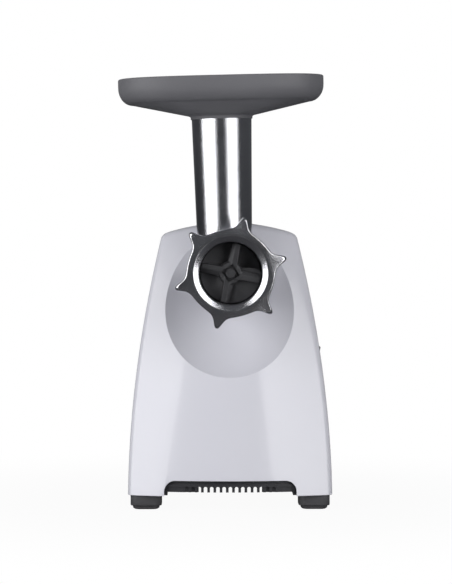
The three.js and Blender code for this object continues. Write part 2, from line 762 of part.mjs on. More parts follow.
function compoundGear(wheelStage, pinionStage, z) {
  const bore = PIN_RADIUS + 0.25;
  const y0 = stageY[wheelStage];
  const wheel = spurGear(
    STAGES[wheelStage].wheel, STAGES[wheelStage].module, gapDown(STAGES[wheelStage].wheel),
    z, y0, y0 + FACE_WIDTH, bore, WHEEL_STEPS,
  );
  const pinionEnd = stageY[pinionStage] + FACE_WIDTH + 1;
  const pinion = spurGear(
    STAGES[pinionStage].pinion, STAGES[pinionStage].module, toothUp,
    z, y0 + FACE_WIDTH - 0.5, pinionEnd, bore, PINION_STEPS,
  );
  return join(wheel, pinion);
}

function makeGears() {
  const [first, second, third] = STAGES;
  addPiece(machine, "motor_pinion", spurGear(
    first.pinion, first.module, toothUp, MOTOR_Z,
    stageY[0] - 0.5, stageY[0] + FACE_WIDTH + 0.5, MOTOR_SHAFT_RADIUS + GAP, PINION_STEPS,
  ), STEEL);
  addPiece(machine, "first_gear", compoundGear(0, 1, firstAxisZ), NYLON);
  addPiece(machine, "second_gear", compoundGear(1, 2, secondAxisZ), STEEL);
  addPiece(machine, "output_gear", spurGear(
    third.wheel, third.module, gapDown(third.wheel), BARREL_Z,
    stageY[2], stageY[2] + FACE_WIDTH + 1, SHAFT_RADIUS + GAP, WHEEL_STEPS,
  ), STEEL);
  const pinStart = GEARBOX_Y + GEARBOX_WALL + GAP;
  const pinEnd = GEARBOX_Y + GEARBOX_DEPTH - GAP;
  addPiece(machine, "first_gear_pin", rodY(0, firstAxisZ, PIN_RADIUS, pinStart, pinEnd, 16), STEEL);
  addPiece(machine, "second_gear_pin", rodY(0, secondAxisZ, PIN_RADIUS, pinStart, pinEnd, 16), STEEL);
}

// ---------------------------------------------------------------- gearbox
const motorBolts = [[-32.5, MOTOR_Z], [32.5, MOTOR_Z]];

function gearboxHull(grow, y0, y1) {
  const [first, , third] = STAGES;
  const reach = (stage) => (stage.wheel * stage.module) / 2 + ADDENDUM * stage.module;
  return Manifold.hull([
    rodY(0, BARREL_Z, reach(third) + grow, y0, y1, 28),
    rodY(0, firstAxisZ, reach(first) + grow, y0, y1, 28),
    rodY(0, MOTOR_Z, 11 + grow, y0, y1),
  ]);
}

const gearboxScrews = [
  [-GEARBOX_EAR_X, BARREL_Z - GEARBOX_EAR_DROP],
  [GEARBOX_EAR_X, BARREL_Z - GEARBOX_EAR_DROP],
  [0, MOTOR_Z - 20],
];

// An ear for a screw at x, z: a round boss hulled to the gearbox's middle line at height tieZ.
const ear = (x, z, tieZ, y0, y1) =>
  Manifold.hull([rodY(x, z, 5, y0, y1, 12), rodY(0, tieZ, 5, y0, y1, 12)]);

function makeGearbox() {
  const back = GEARBOX_Y + GEARBOX_DEPTH;
  const ears = [
    ...gearboxScrews.map(([x, z]) => ear(x, z, Math.max(z, MOTOR_Z), GEARBOX_Y, back)),
    ...motorBolts.map(([x, z]) => ear(x, z, z, GEARBOX_Y, GEARBOX_Y + 12)),
  ];
  const pocket = gearboxHull(GEAR_ROOM, GEARBOX_Y + GEARBOX_WALL, back + 1);
  const bearingSeat = OUTPUT_BEARING_RADIUS + GAP;
  const nose = ringY(0, BARREL_Z, 20, bearingSeat, SOCKET_BACK_Y + GAP, GEARBOX_Y + 1);
  const motorSeat = ringY(0, MOTOR_Z, 13, BEARING_RADIUS + GAP, GEARBOX_Y - 4, GEARBOX_Y + 1);
  const housing = cut(
    join(gearboxHull(GEAR_ROOM + GEARBOX_WALL, GEARBOX_Y, back), ...ears).subtract(pocket),
    rodY(0, BARREL_Z, bearingSeat, GEARBOX_Y - 1, GEARBOX_Y + GEARBOX_WALL + 1),
    rodY(0, MOTOR_Z, BEARING_RADIUS + GAP, GEARBOX_Y - 1, GEARBOX_Y + GEARBOX_WALL + 1),
    ...gearboxScrews.map(([x, z]) => rodY(x, z, SCREW_HOLE, back - 16, back + 1, 8)),
    ...motorBolts.map(([x, z]) => rodY(x, z, SCREW_HOLE, GEARBOX_Y - 1, GEARBOX_Y + 10, 8)),
  );
  addPiece(machine, "gearbox_housing", join(housing, nose, motorSeat), LAMINATION);

  const coverY = back + GAP;
  const cover = cut(
    join(
      gearboxHull(GEAR_ROOM + GEARBOX_WALL, coverY, coverY + COVER_THICKNESS),
      ...gearboxScrews.map(([x, z]) =>
        ear(x, z, Math.max(z, MOTOR_Z), coverY, coverY + COVER_THICKNESS),
      ),
      rodY(0, BARREL_Z, OUTPUT_BEARING_RADIUS, coverY, coverY + COVER_THICKNESS + 4),
    ),
    rodY(0, BARREL_Z, SHAFT_RADIUS + GAP, coverY - 1, coverY + COVER_THICKNESS + 1),
    ...gearboxScrews.map(([x, z]) => rodY(x, z, SCREW_HOLE, coverY - 1, coverY + 10, 8)),
  );
  addPiece(machine, "gearbox_cover", cover, LAMINATION);
  gearboxScrews.forEach(([x, z], i) => {
    const face = coverY + COVER_THICKNESS + GAP;
    addPiece(machine, `gearbox_screw_${i + 1}`, moved(screwForward(16), x, face, z), STEEL);
  });

  addPiece(machine, "output_bearing", ringY(
    0, BARREL_Z, OUTPUT_BEARING_RADIUS, SHAFT_RADIUS + 0.2,
    SOCKET_BACK_Y + 2, GEARBOX_Y + GEARBOX_WALL, 20,
  ), STEEL);
  const shaftEnd = coverY + COVER_THICKNESS;
  addPiece(machine, "output_shaft", rodY(
    0, BARREL_Z, SHAFT_RADIUS, COUPLING_Y + 11, shaftEnd,
  ), STEEL);
}

// ---------------------------------------------------------------- drive coupling, bush and screw
function hexagon(flats) {
  const r = flats / Math.sqrt(3);
  return polygon([0, 1, 2, 3, 4, 5].map((i) => [r * Math.cos(rad(60 * i)), r * Math.sin(rad(60 * i))]));
}

function makeCoupling() {
  const cup = join(
    rodY(0, BARREL_Z, COUPLING_RADIUS, COUPLING_Y, COUPLING_Y + 15),
    rodY(0, BARREL_Z, COUPLING_RADIUS + 1.5, COUPLING_Y + 9, COUPLING_Y + 14),
  );
  const socket = moved(
    plateY(hexagon(TAIL_FLATS + 2 * GAP), COUPLING_Y - 1, COUPLING_Y + 9), 0, 0, BARREL_Z,
  );
  const bore = rodY(0, BARREL_Z, SHAFT_RADIUS + GAP, COUPLING_Y + 10.5, COUPLING_Y + 20);
  addPiece(machine, "drive_coupling", cut(cup, socket, bore), NYLON);
}

// The screw: a round core with one flight, twisted as it goes back. Its flight is a bump on the
// section's outline that leads the turn round.
function augerFlight(y0, y1) {
  const bump = [
    [0, AUGER_REACH], [24, AUGER_REACH], [48, AUGER_REACH],
    [66, AUGER_CORE + 2], [96, AUGER_CORE], [136, AUGER_CORE], [176, AUGER_CORE],
    [216, AUGER_CORE], [256, AUGER_CORE], [296, AUGER_CORE], [342, AUGER_CORE + 2],
  ];
  const step = 30;
  const turns = ((y1 - y0) / AUGER_PITCH) * 360;
  const count = Math.round(turns / step);
  const rings = [];
  for (let k = 0; k <= count; k++) {
    const z = ((y1 - y0) * k) / count;
    const twist = (turns * k) / count;
    rings.push(
      bump.map(([angle, r]) => {
        const a = rad(angle + twist);
        return new THREE.Vector3(r * Math.cos(a), r * Math.sin(a), z);
      }),
    );
  }
  return moved(loft(rings).rotate([-90, 0, 0]), 0, y0, 0);
}

function makeScrewAndKnife() {
  const flightFront = KNIFE_FRONT_Y + KNIFE_THICKNESS + GAP;
  const flightBack = BARREL_FLOOR_Y - 1;
  const shank = box(
    -SHANK_WIDTH / 2, SHANK_WIDTH / 2, KNIFE_FRONT_Y + 2.2, flightFront + 1,
    -SHANK_WIDTH / 2, SHANK_WIDTH / 2,
  ).rotate([0, 45 + KNIFE_TURN, 0]);
  const tail = moved(plateY(hexagon(TAIL_FLATS), 0, 9.6), 0, COUPLING_Y - 1.4, 0);
  const auger = join(
    augerFlight(flightFront, flightBack),
    rodY(0, 0, SHANK_PIN_RADIUS, KNIFE_FRONT_Y - 0.6, flightFront + 2, 20),
    shank,
    rodY(0, 0, AUGER_TAIL_RADIUS, flightBack - 1, COUPLING_Y - 1, 24),
    tail,
  );
  addPiece(machine, "auger", moved(auger, 0, 0, BARREL_Z), CAST_GREY);

  // each arm has one upright edge and one edge that slopes away to the front
  const back = KNIFE_FRONT_Y + KNIFE_THICKNESS;
  const half = KNIFE_ARM_WIDTH / 2;
  const section = polygon([
    [-half, back], [half, back], [half - 0.6, KNIFE_FRONT_Y],
    [-half + 3.4, KNIFE_FRONT_Y], [-half, KNIFE_FRONT_Y + 2.6],
  ]);
  const arm = (length) => {
    const geometry = new THREE.ExtrudeGeometry(section, { depth: length, bevelEnabled: false });
    return solidFrom(geometry);
  };
  const arms = [];
  for (let i = 0; i < KNIFE_ARMS; i++) {
    arms.push(arm(KNIFE_REACH + 3).rotate([0, (360 / KNIFE_ARMS) * i + KNIFE_TURN, 0]));
  }
  const hub = rodY(0, 0, 11.2, KNIFE_FRONT_Y + 0.4, back, 24);
  const hole = box(
    -SHANK_WIDTH / 2 - GAP, SHANK_WIDTH / 2 + GAP, KNIFE_FRONT_Y - 1, back + 1,
    -SHANK_WIDTH / 2 - GAP, SHANK_WIDTH / 2 + GAP,
  ).rotate([0, 45 + KNIFE_TURN, 0]);
  const knife = join(hub, ...arms)
    .intersect(rodY(0, 0, KNIFE_REACH, KNIFE_FRONT_Y - 1, back + 1, 40))
    .subtract(hole);
  addPiece(machine, "cutting_knife", moved(knife, 0, 0, BARREL_Z), CAST_GREY);
}

// ---------------------------------------------------------------- grinder head, in its own frame
// Inside the head group the barrel's axis is x = 0, z = 0.
const localZ = (z) => z - BARREL_Z;

// The feed tube's bore widens from the barrel's axis up to the tube's top.
const tubeBoreRadius = (z) =>
  TUBE_FOOT_RADIUS - TUBE_WALL + ((TUBE_TOP_RADIUS - TUBE_FOOT_RADIUS) * z) / localZ(TUBE_TOP_Z);

function sector(inner, outer, from, to) {
  const shape = new THREE.Shape();
  shape.absarc(0, 0, outer, rad(from), rad(to), false);
  shape.absarc(0, 0, inner, rad(to), rad(from), true);
  return shape;
}

function makeHead() {
  const ringBack = RING_FRONT_Y + RING_LENGTH;
  const mouth = RING_FRONT_Y + RING_LIP + GAP;
  const barrel = turnedY([
    [0, mouth], [THREAD_RADIUS, mouth], [THREAD_RADIUS, ringBack - 1],
    [BARREL_RADIUS, ringBack + 1], [BARREL_RADIUS, SOCKET_FRONT_Y - 4],
    [SPIGOT_RADIUS, SOCKET_FRONT_Y - 2], [SPIGOT_RADIUS, SPIGOT_END_Y], [0, SPIGOT_END_Y],
  ], 32);
  const tubeTop = localZ(TUBE_TOP_Z);
  const tube = rodZ(TUBE_OFFSET, 0, TUBE_FOOT_RADIUS, 0, tubeTop, 32, TUBE_TOP_RADIUS);
  const tubeBore = rodZ(
    TUBE_OFFSET, 0, TUBE_FOOT_RADIUS - TUBE_WALL, 0, tubeTop + 1, 28, TUBE_TOP_RADIUS - TUBE_WALL,
  );
  const bore = rodY(0, 0, BARREL_BORE, mouth - 1, BARREL_FLOOR_Y, 32);
  const bushSeat = rodY(0, 0, BUSH_RADIUS + GAP, BARREL_FLOOR_Y - 1, SPIGOT_END_Y - 4, 16);
  const couplingRoom = rodY(0, 0, COUPLING_RADIUS + 5.5, COUPLING_Y - 2, SPIGOT_END_Y + 1, 20);
  const plateSeat = rodY(0, 0, PLATE_SEAT_RADIUS, mouth - 1, KNIFE_FRONT_Y, 32);
  // the latch tooth's groove runs the way that the head turns past it
  const toothAngle = 90 - HEAD_LEAN;
  const latchRoom = plateY(
    sector(
      TOOTH_REACH - TOOTH_HEIGHT - RELEASE_TRAVEL - 1.4, SPIGOT_RADIUS + 2,
      toothAngle - LATCH_MARGIN, toothAngle + UNLOCK_TURN + LATCH_MARGIN,
    ),
    TOOTH_FRONT_Y - 1.1, SPIGOT_END_Y + 1, 5,
  );
  const lugs = [0, 180].map((a) =>
    plateY(
      sector(SPIGOT_RADIUS - 2, BAYONET_REACH, a - BAYONET_HALF_ANGLE, a + BAYONET_HALF_ANGLE),
      SOCKET_GROOVE_Y + 0.5, SOCKET_GROOVE_Y + GROOVE_WIDTH - 1, 4,
    ),
  );
  const shape = cut(
    join(barrel, tube), bore, tubeBore, plateSeat, bushSeat, couplingRoom, latchRoom,
  );
  addPiece(head, "grinder_head", join(shape, ...lugs), POLISHED);
  addPiece(head, "auger_bush", ringY(
    0, 0, BUSH_RADIUS, AUGER_TAIL_RADIUS + GAP, BARREL_FLOOR_Y, COUPLING_Y - 2.3, 16,
  ), NYLON);
}

function makeRing() {
  const back = RING_FRONT_Y + RING_LENGTH;
  const lipBack = RING_FRONT_Y + RING_LIP;
  const bore = THREAD_RADIUS + GAP;
  const body = turnedY([
    [RING_OPENING + RING_BEVEL, RING_FRONT_Y],
    [RING_RADIUS - 2.6, RING_FRONT_Y], [RING_RADIUS - 0.7, RING_FRONT_Y + 0.8],
    [RING_RADIUS, RING_FRONT_Y + 2.8], [RING_RADIUS, back - 1], [RING_RADIUS - 1, back],
    [bore, back], [bore, lipBack], [RING_OPENING, lipBack],
    [RING_OPENING, RING_FRONT_Y + 4.6],
    [RING_OPENING + RING_BEVEL * 0.4, RING_FRONT_Y + 2.2],
  ], 36);
  const lug = new THREE.Shape();
  const shoulder = RING_RADIUS + 5.3;
  lug.moveTo(RING_RADIUS - 3, -10);
  lug.quadraticCurveTo(RING_RADIUS + 2.2, -6.4, shoulder, -4.4);
  lug.lineTo(LUG_REACH - 2, -2.6);
  lug.quadraticCurveTo(LUG_REACH, -1.9, LUG_REACH, 0);
  lug.quadraticCurveTo(LUG_REACH, 1.9, LUG_REACH - 2, 2.6);
  lug.lineTo(shoulder, 4.4);
  lug.quadraticCurveTo(RING_RADIUS + 2.2, 6.4, RING_RADIUS - 3, 10);
  const lugs = [];
  for (let i = 0; i < LUG_COUNT; i++) {
    const turn = -(LUG_START - HEAD_LEAN + (360 / LUG_COUNT) * i);
    lugs.push(
      plateY(lug, RING_FRONT_Y + 4, back - 5, 3).rotate([0, turn, 0]),
    );
  }
  const hollow = rodY(0, 0, bore, lipBack, back + 1, 36);
  addPiece(head, "ring_nut", join(body, ...lugs).subtract(hollow), POLISHED);
}

// ---------------------------------------------------------------- tray
// A squared ellipse of the given half sizes at height z, about the tube's axis.
function trayRing(halfLength, halfDepth, power, z, count = 28) {
  const points = [];
  for (let i = 0; i < count; i++) {
    const a = (2 * Math.PI * i) / count;
    const c = Math.cos(a);
    const s = Math.sin(a);
    points.push(
      new THREE.Vector3(
        TUBE_OFFSET + halfLength * Math.sign(c) * Math.abs(c) ** (2 / power),
        halfDepth * Math.sign(s) * Math.abs(s) ** (2 / power),
        z,
      ),
    );
  }
  return points;
}

function makeTray() {
  const rim = localZ(TRAY_RIM_Z);
  const wallFoot = rim - TRAY_WALL_HEIGHT;
  const collarFoot = localZ(COLLAR_FOOT_Z);
  const collar = TUBE_TOP_RADIUS + 0.8;
  const a = TRAY_HALF_LENGTH;
  const b = TRAY_HALF_DEPTH;
  const n = TRAY_SQUARENESS;
  const edge = TRAY_EDGE_RADIUS;
  const slopeFoot = collarFoot + 3;
  const outer = loft([
    trayRing(collar, collar, 2, collarFoot),
    trayRing(collar, collar, 2, slopeFoot - 1),
    trayRing(collar + 4, collar + 3, 2.1, slopeFoot + 0.6),
    trayRing(a - edge, b - edge, n, wallFoot + 0.4),
    trayRing(a - edge * 0.42, b - edge * 0.42, n, wallFoot + 3.2),
    trayRing(a - edge * 0.1, b - edge * 0.1, n, wallFoot + edge * 0.75),
    trayRing(a, b, n, wallFoot + edge * 1.35),
    trayRing(a, b, n, rim),
  ]);
  const t = TRAY_WALL;
  const throat = TUBE_TOP_RADIUS - TUBE_WALL - GAP - SPIGOT_WALL;
  const spigotFoot = slopeFoot - TRAY_SPIGOT_LENGTH;
  const footRadius = tubeBoreRadius(spigotFoot) - SPIGOT_FOOT_GAP;
  const throatFoot = footRadius - SPIGOT_FOOT_WALL;
  const inner = loft([
    trayRing(throatFoot, throatFoot, 2, spigotFoot - 1),
    trayRing(throat, throat, 2, slopeFoot + 2.5),
    trayRing(throat + 4, throat + 4, 2.1, slopeFoot + 4.5),
    trayRing(a - edge, b - edge, n, wallFoot + 3.4),
    trayRing(a - edge * 0.42 - t, b - edge * 0.42 - t, n, wallFoot + 5.4),
    trayRing(a - t, b - t, n, wallFoot + edge * 1.35),
    trayRing(a - t, b - t, n, rim + 1),
  ]);
  const spigotRadius = throat + SPIGOT_WALL;
  const spigot = rodZ(TUBE_OFFSET, 0, footRadius, spigotFoot, slopeFoot, 28, spigotRadius);
  const tubeRoom = cut(
    rodZ(TUBE_OFFSET, 0, TUBE_TOP_RADIUS + GAP, collarFoot - 1, localZ(TUBE_TOP_Z) + GAP, 28),
    rodZ(
      TUBE_OFFSET, 0, tubeBoreRadius(collarFoot - 2) - SPIGOT_ROOM,
      collarFoot - 2, localZ(TUBE_TOP_Z) + 1, 28, spigotRadius,
    ),
  );
  addPiece(head, "hopper_tray", cut(join(outer, spigot), inner, tubeRoom), TRAY_PLASTIC);
}

// ---------------------------------------------------------------- head socket and release button
function makeSocket() {
  const collar = turnedY([
    [SOCKET_BORE, SOCKET_FRONT_Y], [SOCKET_RADIUS - 1, SOCKET_FRONT_Y],
    [SOCKET_RADIUS, SOCKET_FRONT_Y + 1], [SOCKET_RADIUS, SOCKET_GROOVE_Y + GROOVE_WIDTH + 1],
    [SOCKET_RADIUS - 4, SOCKET_GROOVE_Y + GROOVE_WIDTH + 3], [SOCKET_RADIUS - 4, SOCKET_BACK_Y],
    [SOCKET_HOLE, SOCKET_BACK_Y], [SOCKET_HOLE, SOCKET_FLOOR_Y], [SOCKET_BORE, SOCKET_FLOOR_Y],
    [SOCKET_BORE, SOCKET_GROOVE_Y + GROOVE_WIDTH], [SOCKET_GROOVE, SOCKET_GROOVE_Y + GROOVE_WIDTH],
    [SOCKET_GROOVE, SOCKET_GROOVE_Y], [SOCKET_BORE, SOCKET_GROOVE_Y],
  ], 32);
  // the lugs go in through the front lip a part turn away from where they lock
  const half = BAYONET_HALF_ANGLE + 1.5;
  const entries = [0, 180].map((a) => {
    const middle = a - UNLOCK_TURN + HEAD_LEAN;
    return plateY(
      sector(SOCKET_BORE - 2, SOCKET_GROOVE, middle - half, middle + half),
      SOCKET_FRONT_Y - 1, SOCKET_GROOVE_Y + 1, 4,
    );
  });
  const latchSlot = box(-5.4, 5.4, SOCKET_FLOOR_Y - 1, SOCKET_BACK_Y - 1.2, 18, 40);
  addPiece(machine, "head_socket",
    moved(cut(collar, ...entries, latchSlot), 0, 0, BARREL_Z), DARK_PLASTIC);

  const capTop = crownZ(0, RELEASE_Y) + RELEASE_STAND;
  // pressed right down, the cap still clears the socket under it
  const capFoot = BARREL_Z + SOCKET_RADIUS + RELEASE_TRAVEL + GAP;
  const toothTop = BARREL_Z + TOOTH_REACH;
  const plate = box(-5, 5, RELEASE_Y - 1.3, RELEASE_Y + 0.9, BARREL_Z + 22, capFoot + 1);
  const tooth = box(
    -TOOTH_HALF_WIDTH, TOOTH_HALF_WIDTH, TOOTH_FRONT_Y, RELEASE_Y, toothTop - TOOTH_HEIGHT, toothTop,
  );
  const cap = rodZ(0, RELEASE_Y, RELEASE_RADIUS, capFoot, capTop, 28, RELEASE_RADIUS - 0.4);
  addPiece(machine, "release_button", join(cap, plate, tooth), DARK_PLASTIC);
}

// ---------------------------------------------------------------- motor
function makeMotor() {
  const z = MOTOR_Z;
  const coreEnd = CORE_END_Y;
  const bore = MOTOR_SHAFT_RADIUS + GAP;
  const bearingEnd = FRONT_BEARING_Y + BEARING_WIDTH;
  addPiece(machine, "armature_shaft", rodY(
    0, z, MOTOR_SHAFT_RADIUS, FRONT_BEARING_Y - 2, stageY[0] + FACE_WIDTH + 1, 16,
  ), STEEL);
  for (const [name, y] of [["front", FRONT_BEARING_Y], ["rear", GEARBOX_Y - 3]]) {
    addPiece(machine, `motor_bearing_${name}`, ringY(
      0, z, BEARING_RADIUS, MOTOR_SHAFT_RADIUS + 0.25, y, y + BEARING_WIDTH, 16,
    ), STEEL);
  }

  // armature core with winding slots
  const core = new THREE.Shape();
  const slots = 10;
  for (let i = 0; i < slots; i++) {
    for (const [share, r] of [[0.08, CORE_RADIUS], [0.78, CORE_RADIUS], [0.8, 15], [0.06, 15]]) {
      const a = (2 * Math.PI * (i + share)) / slots + (r === 15 && share < 0.5 ? 2 * Math.PI / slots : 0);
      if (i === 0 && share === 0.08) core.moveTo(r * Math.cos(a), r * Math.sin(a));
      else core.lineTo(r * Math.cos(a), r * Math.sin(a));
    }
  }
  core.closePath();
  addPiece(machine, "armature_core", cut(
    moved(plateY(core, CORE_Y, coreEnd), 0, 0, z), rodY(0, z, bore, CORE_Y - 1, coreEnd + 1, 16),
  ), LAMINATION);
  addPiece(machine, "commutator", ringY(
    0, z, 11, bore, COMMUTATOR_Y, COMMUTATOR_Y + COMMUTATOR_LENGTH, 16,
  ), COPPER);

  // stator with room for the two field coils round its poles
  const legIn = 17;
  const legOut = 25;
  const coilTop = 33;
  const block = moved(
    plateY(roundedRectangle(2 * STATOR_HALF_WIDTH, 2 * STATOR_HALF_WIDTH, 12), CORE_Y, coreEnd, 3),
    0, 0, z,
  );
  const room = [-1, 1].map((side) => {
    const [x0, x1] = [Math.min(side * legIn, side * legOut), Math.max(side * legIn, side * legOut)];
    return box(x0, x1, CORE_Y - 1, coreEnd + 1, z - coilTop - GAP, z + coilTop + GAP);
  });
  const boltHoles = motorBolts.map(([x, bz]) => rodY(x, bz, SCREW_HOLE, CORE_Y - 1, coreEnd + 1, 8));
  addPiece(machine, "stator_core", cut(
    block, rodY(0, z, CORE_RADIUS + AIR_GAP, CORE_Y - 1, coreEnd + 1, 24), ...room, ...boltHoles,
  ), LAMINATION);
  for (const [name, side] of [["upper", 1], ["lower", -1]]) {
    const [z0, z1] = [Math.min(side * 23.5, side * coilTop), Math.max(side * 23.5, side * coilTop)];
    const loop = cut(
      box(-legOut + GAP, legOut - GAP, CORE_Y - 5, coreEnd + 5, z + z0, z + z1),
      box(-legIn + GAP, legIn - GAP, CORE_Y - GAP, coreEnd + GAP, z + z0 - 1, z + z1 + 1),
    );
    addPiece(machine, `field_coil_${name}`, cut(
      loop, box(-legIn - GAP, legIn + GAP, CORE_Y - GAP, coreEnd + GAP, z + z0 - 1, z + z1 + 1),
    ), COPPER);
  }

  // fan with flat blades between stator and gearbox
  const fanY = coreEnd + 6.5;
  const blades = [];
  for (let i = 0; i < 8; i++) {
    blades.push(
      box(-0.8, 0.8, fanY + 0.5, fanY + 6, 9, 29).rotate([0, 45 * i, 0]),
    );
  }
  const fan = join(
    rodY(0, 0, 29.5, fanY, fanY + 1.2, 24), rodY(0, 0, 10, fanY, fanY + 6, 12), ...blades,
  ).subtract(rodY(0, 0, bore, fanY - 1, fanY + 8, 12));
  addPiece(machine, "cooling_fan", moved(fan, 0, 0, z), NYLON);

  // front bracket: a bar across the bearing with an arm back to the stator at each bolt
  const bar = box(-37, 37, FRONT_BEARING_Y, bearingEnd, z - 12, z + 12);
  const arms = motorBolts.map(([x, bz]) => rodY(x, bz, 4.5, FRONT_BEARING_Y, CORE_Y - GAP, 12));
  addPiece(machine, "motor_bracket", cut(
    join(bar, ...arms), rodY(0, z, BEARING_RADIUS + GAP, FRONT_BEARING_Y - 1, bearingEnd + 1),
    ...motorBolts.map(([x, bz]) => rodY(x, bz, SCREW_HOLE, FRONT_BEARING_Y - 1, CORE_Y + 1, 8)),
  ), STEEL);
  motorBolts.forEach(([x, bz], i) => {
    const depth = GEARBOX_Y + 8 - FRONT_BEARING_Y;
    const bolt = screw(depth).rotate([-90, 0, 0]);
    addPiece(machine, `motor_bolt_${i + 1}`, moved(bolt, x, FRONT_BEARING_Y - GAP, bz), STEEL);
  });

  for (const [name, side] of [["left", -1], ["right", 1]]) {
    const span = (a, b) => [Math.min(side * a, side * b), Math.max(side * a, side * b)];
    const [b0, b1] = span(11.3, 24);
    const [h0, h1] = span(14, 27);
    const [c0, c1] = span(13, 25);
    const brushY = COMMUTATOR_Y + 3;
    const brushEnd = brushY + 7;
    addPiece(machine, `carbon_brush_${name}`, box(b0, b1, brushY, brushEnd, z - 4, z + 4), CARBON);
    addPiece(machine, `brush_holder_${name}`, cut(
      join(
        box(h0, h1, brushY - 2.5, brushEnd + 2.5, z - 6.5, z + 6.5),
        box(h0, h1, bearingEnd + GAP, brushY - 1, z - 5, z + 5),
      ),
      box(c0, c1, brushY - GAP, brushEnd + GAP, z - 4 - GAP, z + 4 + GAP),
    ), DARK_PLASTIC);
  }
}

// ---------------------------------------------------------------- electrics
const boardPosts = [[-38, 92], [38, 92], [-38, 142], [38, 142]];

function makeElectrics() {
  const board = box(-43, 43, 86, 148, BOARD_Z, BOARD_Z + 1.6);
  const chokes = box(-34, -14, 100, 118, BOARD_Z + 1.4, BOARD_Z + 15);
  addPiece(machine, "control_board", join(board, chokes), BOARD_GREEN);
  addPiece(machine, "capacitor", rodZ(18, 118, 9, BOARD_Z + 1.6 + GAP, BOARD_Z + 28, 20), CAPACITOR_BLUE);

  // panel: frame flush in the side wall, rocker above, push button below
  const flange = panelPlate(PANEL_WIDTH, PANEL_HEIGHT, 8, GAP, PANEL_STAND);
  const sleeveMargin = PANEL_MARGIN + 2 * GAP;
  const sleeve = panelPlate(PANEL_WIDTH - sleeveMargin, PANEL_HEIGHT - sleeveMargin, 6, -9, 1);
  const rockerRoom = (x0, x1) => moved(
    panelPlate(
      ROCKER_WIDTH + 2 * ROCKER_ROOM, 2 * (ROCKER_HALF_LENGTH + 1.1), 2, x0, x1,
    ), 0, 0, ROCKER_Z,
  );
  const rockerHole = rockerRoom(-20, 10);
  const buttonHole = rodX(0, BUTTON_Z, BUTTON_RADIUS + GAP, -20, 10);
  const bezel = cut(join(flange, sleeve), rockerHole, buttonHole);
  addPiece(machine, "switch_bezel", toPanel(bezel), DARK_PLASTIC);

  const rockerProfile = polygon([
    [-ROCKER_HALF_LENGTH, 2.2], [-8, 0.9], [0, 1.3], [8, 2.6], [ROCKER_HALF_LENGTH, 4.6],
    [14, -4], [3, -6.5], [-3, -6.5], [-13.8, -5],
  ]);
  const rockerGeometry = new THREE.ExtrudeGeometry(
    rockerProfile, { depth: ROCKER_WIDTH, bevelEnabled: false },
  );
  rockerGeometry.applyMatrix4(new THREE.Matrix4().makeBasis(AXIS_Z, AXIS_X, AXIS_Y));
  rockerGeometry.translate(0, -ROCKER_WIDTH / 2, ROCKER_Z);
  addPiece(machine, "switch_rocker", toPanel(solidFrom(rockerGeometry)), DARK_PLASTIC);

  const button = join(
    rodX(0, BUTTON_Z, BUTTON_RADIUS, -5, PANEL_STAND + 2.2),
    rodX(0, BUTTON_Z, 3, -11, -4),
  );
  addPiece(machine, "reverse_button", toPanel(button), DARK_PLASTIC);
  addPiece(machine, "switch_body", toPanel(cut(
    panelPlate(PANEL_WIDTH - 9, PANEL_HEIGHT - 9, 3, -30, -9 - GAP),
    rockerRoom(-14, 0),
    rodX(0, BUTTON_Z, 4, -16, 0),
  )), DARK_PLASTIC);

  const wallY = rearY(GLAND_Z) - (REAR_RADIUS - Math.sqrt(REAR_RADIUS ** 2 - GLAND_X ** 2));
  const gland = join(
    rodY(GLAND_X, GLAND_Z, GLAND_RADIUS, wallY - 14, wallY + GLAND_STAND),
    rodY(GLAND_X, GLAND_Z, GLAND_RADIUS + 2.6, wallY + 1.8, wallY + 3.6),
    rodY(GLAND_X, GLAND_Z, GLAND_RADIUS + 2.6, wallY - 8.5, wallY - 6),
  );
  addPiece(machine, "cord_gland", gland.subtract(
    rodY(GLAND_X, GLAND_Z, 3.6, wallY - 20, wallY + 20, 12),
  ), DARK_PLASTIC);
}

// A round bar along the panel's outward direction, in the panel's frame.
function rodX(y, z, radius, x0, x1) {
  const geometry = new THREE.CylinderGeometry(radius, radius, x1 - x0, 20);
  geometry.rotateZ(Math.PI / 2);
  geometry.translate((x0 + x1) / 2, y, z);
  return solidFrom(geometry);
}

// ---------------------------------------------------------------- assembly
makeShells();
makeBase();
makeFeet();
makeScrews();
makeGears();
makeGearbox();
makeCoupling();
makeScrewAndKnife();
makeHead();
makeRing();
makeTray();
makeSocket();
makeMotor();
makeElectrics();

const meatGrinder = new THREE.Group();
meatGrinder.add(machine);

export default meatGrinder;
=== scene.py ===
import math

import bmesh
import bpy
from mathutils import Matrix, Vector


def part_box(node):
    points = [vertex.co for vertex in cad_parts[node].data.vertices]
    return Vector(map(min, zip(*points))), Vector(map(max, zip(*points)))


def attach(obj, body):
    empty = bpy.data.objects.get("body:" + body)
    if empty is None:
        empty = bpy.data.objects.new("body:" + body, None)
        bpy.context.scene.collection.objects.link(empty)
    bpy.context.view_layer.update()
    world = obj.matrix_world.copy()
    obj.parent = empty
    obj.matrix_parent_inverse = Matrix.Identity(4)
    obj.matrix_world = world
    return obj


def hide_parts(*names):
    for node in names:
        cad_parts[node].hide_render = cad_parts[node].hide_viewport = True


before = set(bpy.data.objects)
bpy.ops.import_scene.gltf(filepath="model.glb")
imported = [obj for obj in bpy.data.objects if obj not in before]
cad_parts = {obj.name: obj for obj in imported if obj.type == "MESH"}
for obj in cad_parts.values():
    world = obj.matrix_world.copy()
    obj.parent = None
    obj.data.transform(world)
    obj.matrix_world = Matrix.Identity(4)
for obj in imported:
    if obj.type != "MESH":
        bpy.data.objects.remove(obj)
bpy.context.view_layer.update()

scene = bpy.context.scene
rad = math.radians


def centre(node):
    low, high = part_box(node)
    return (low + high) / 2


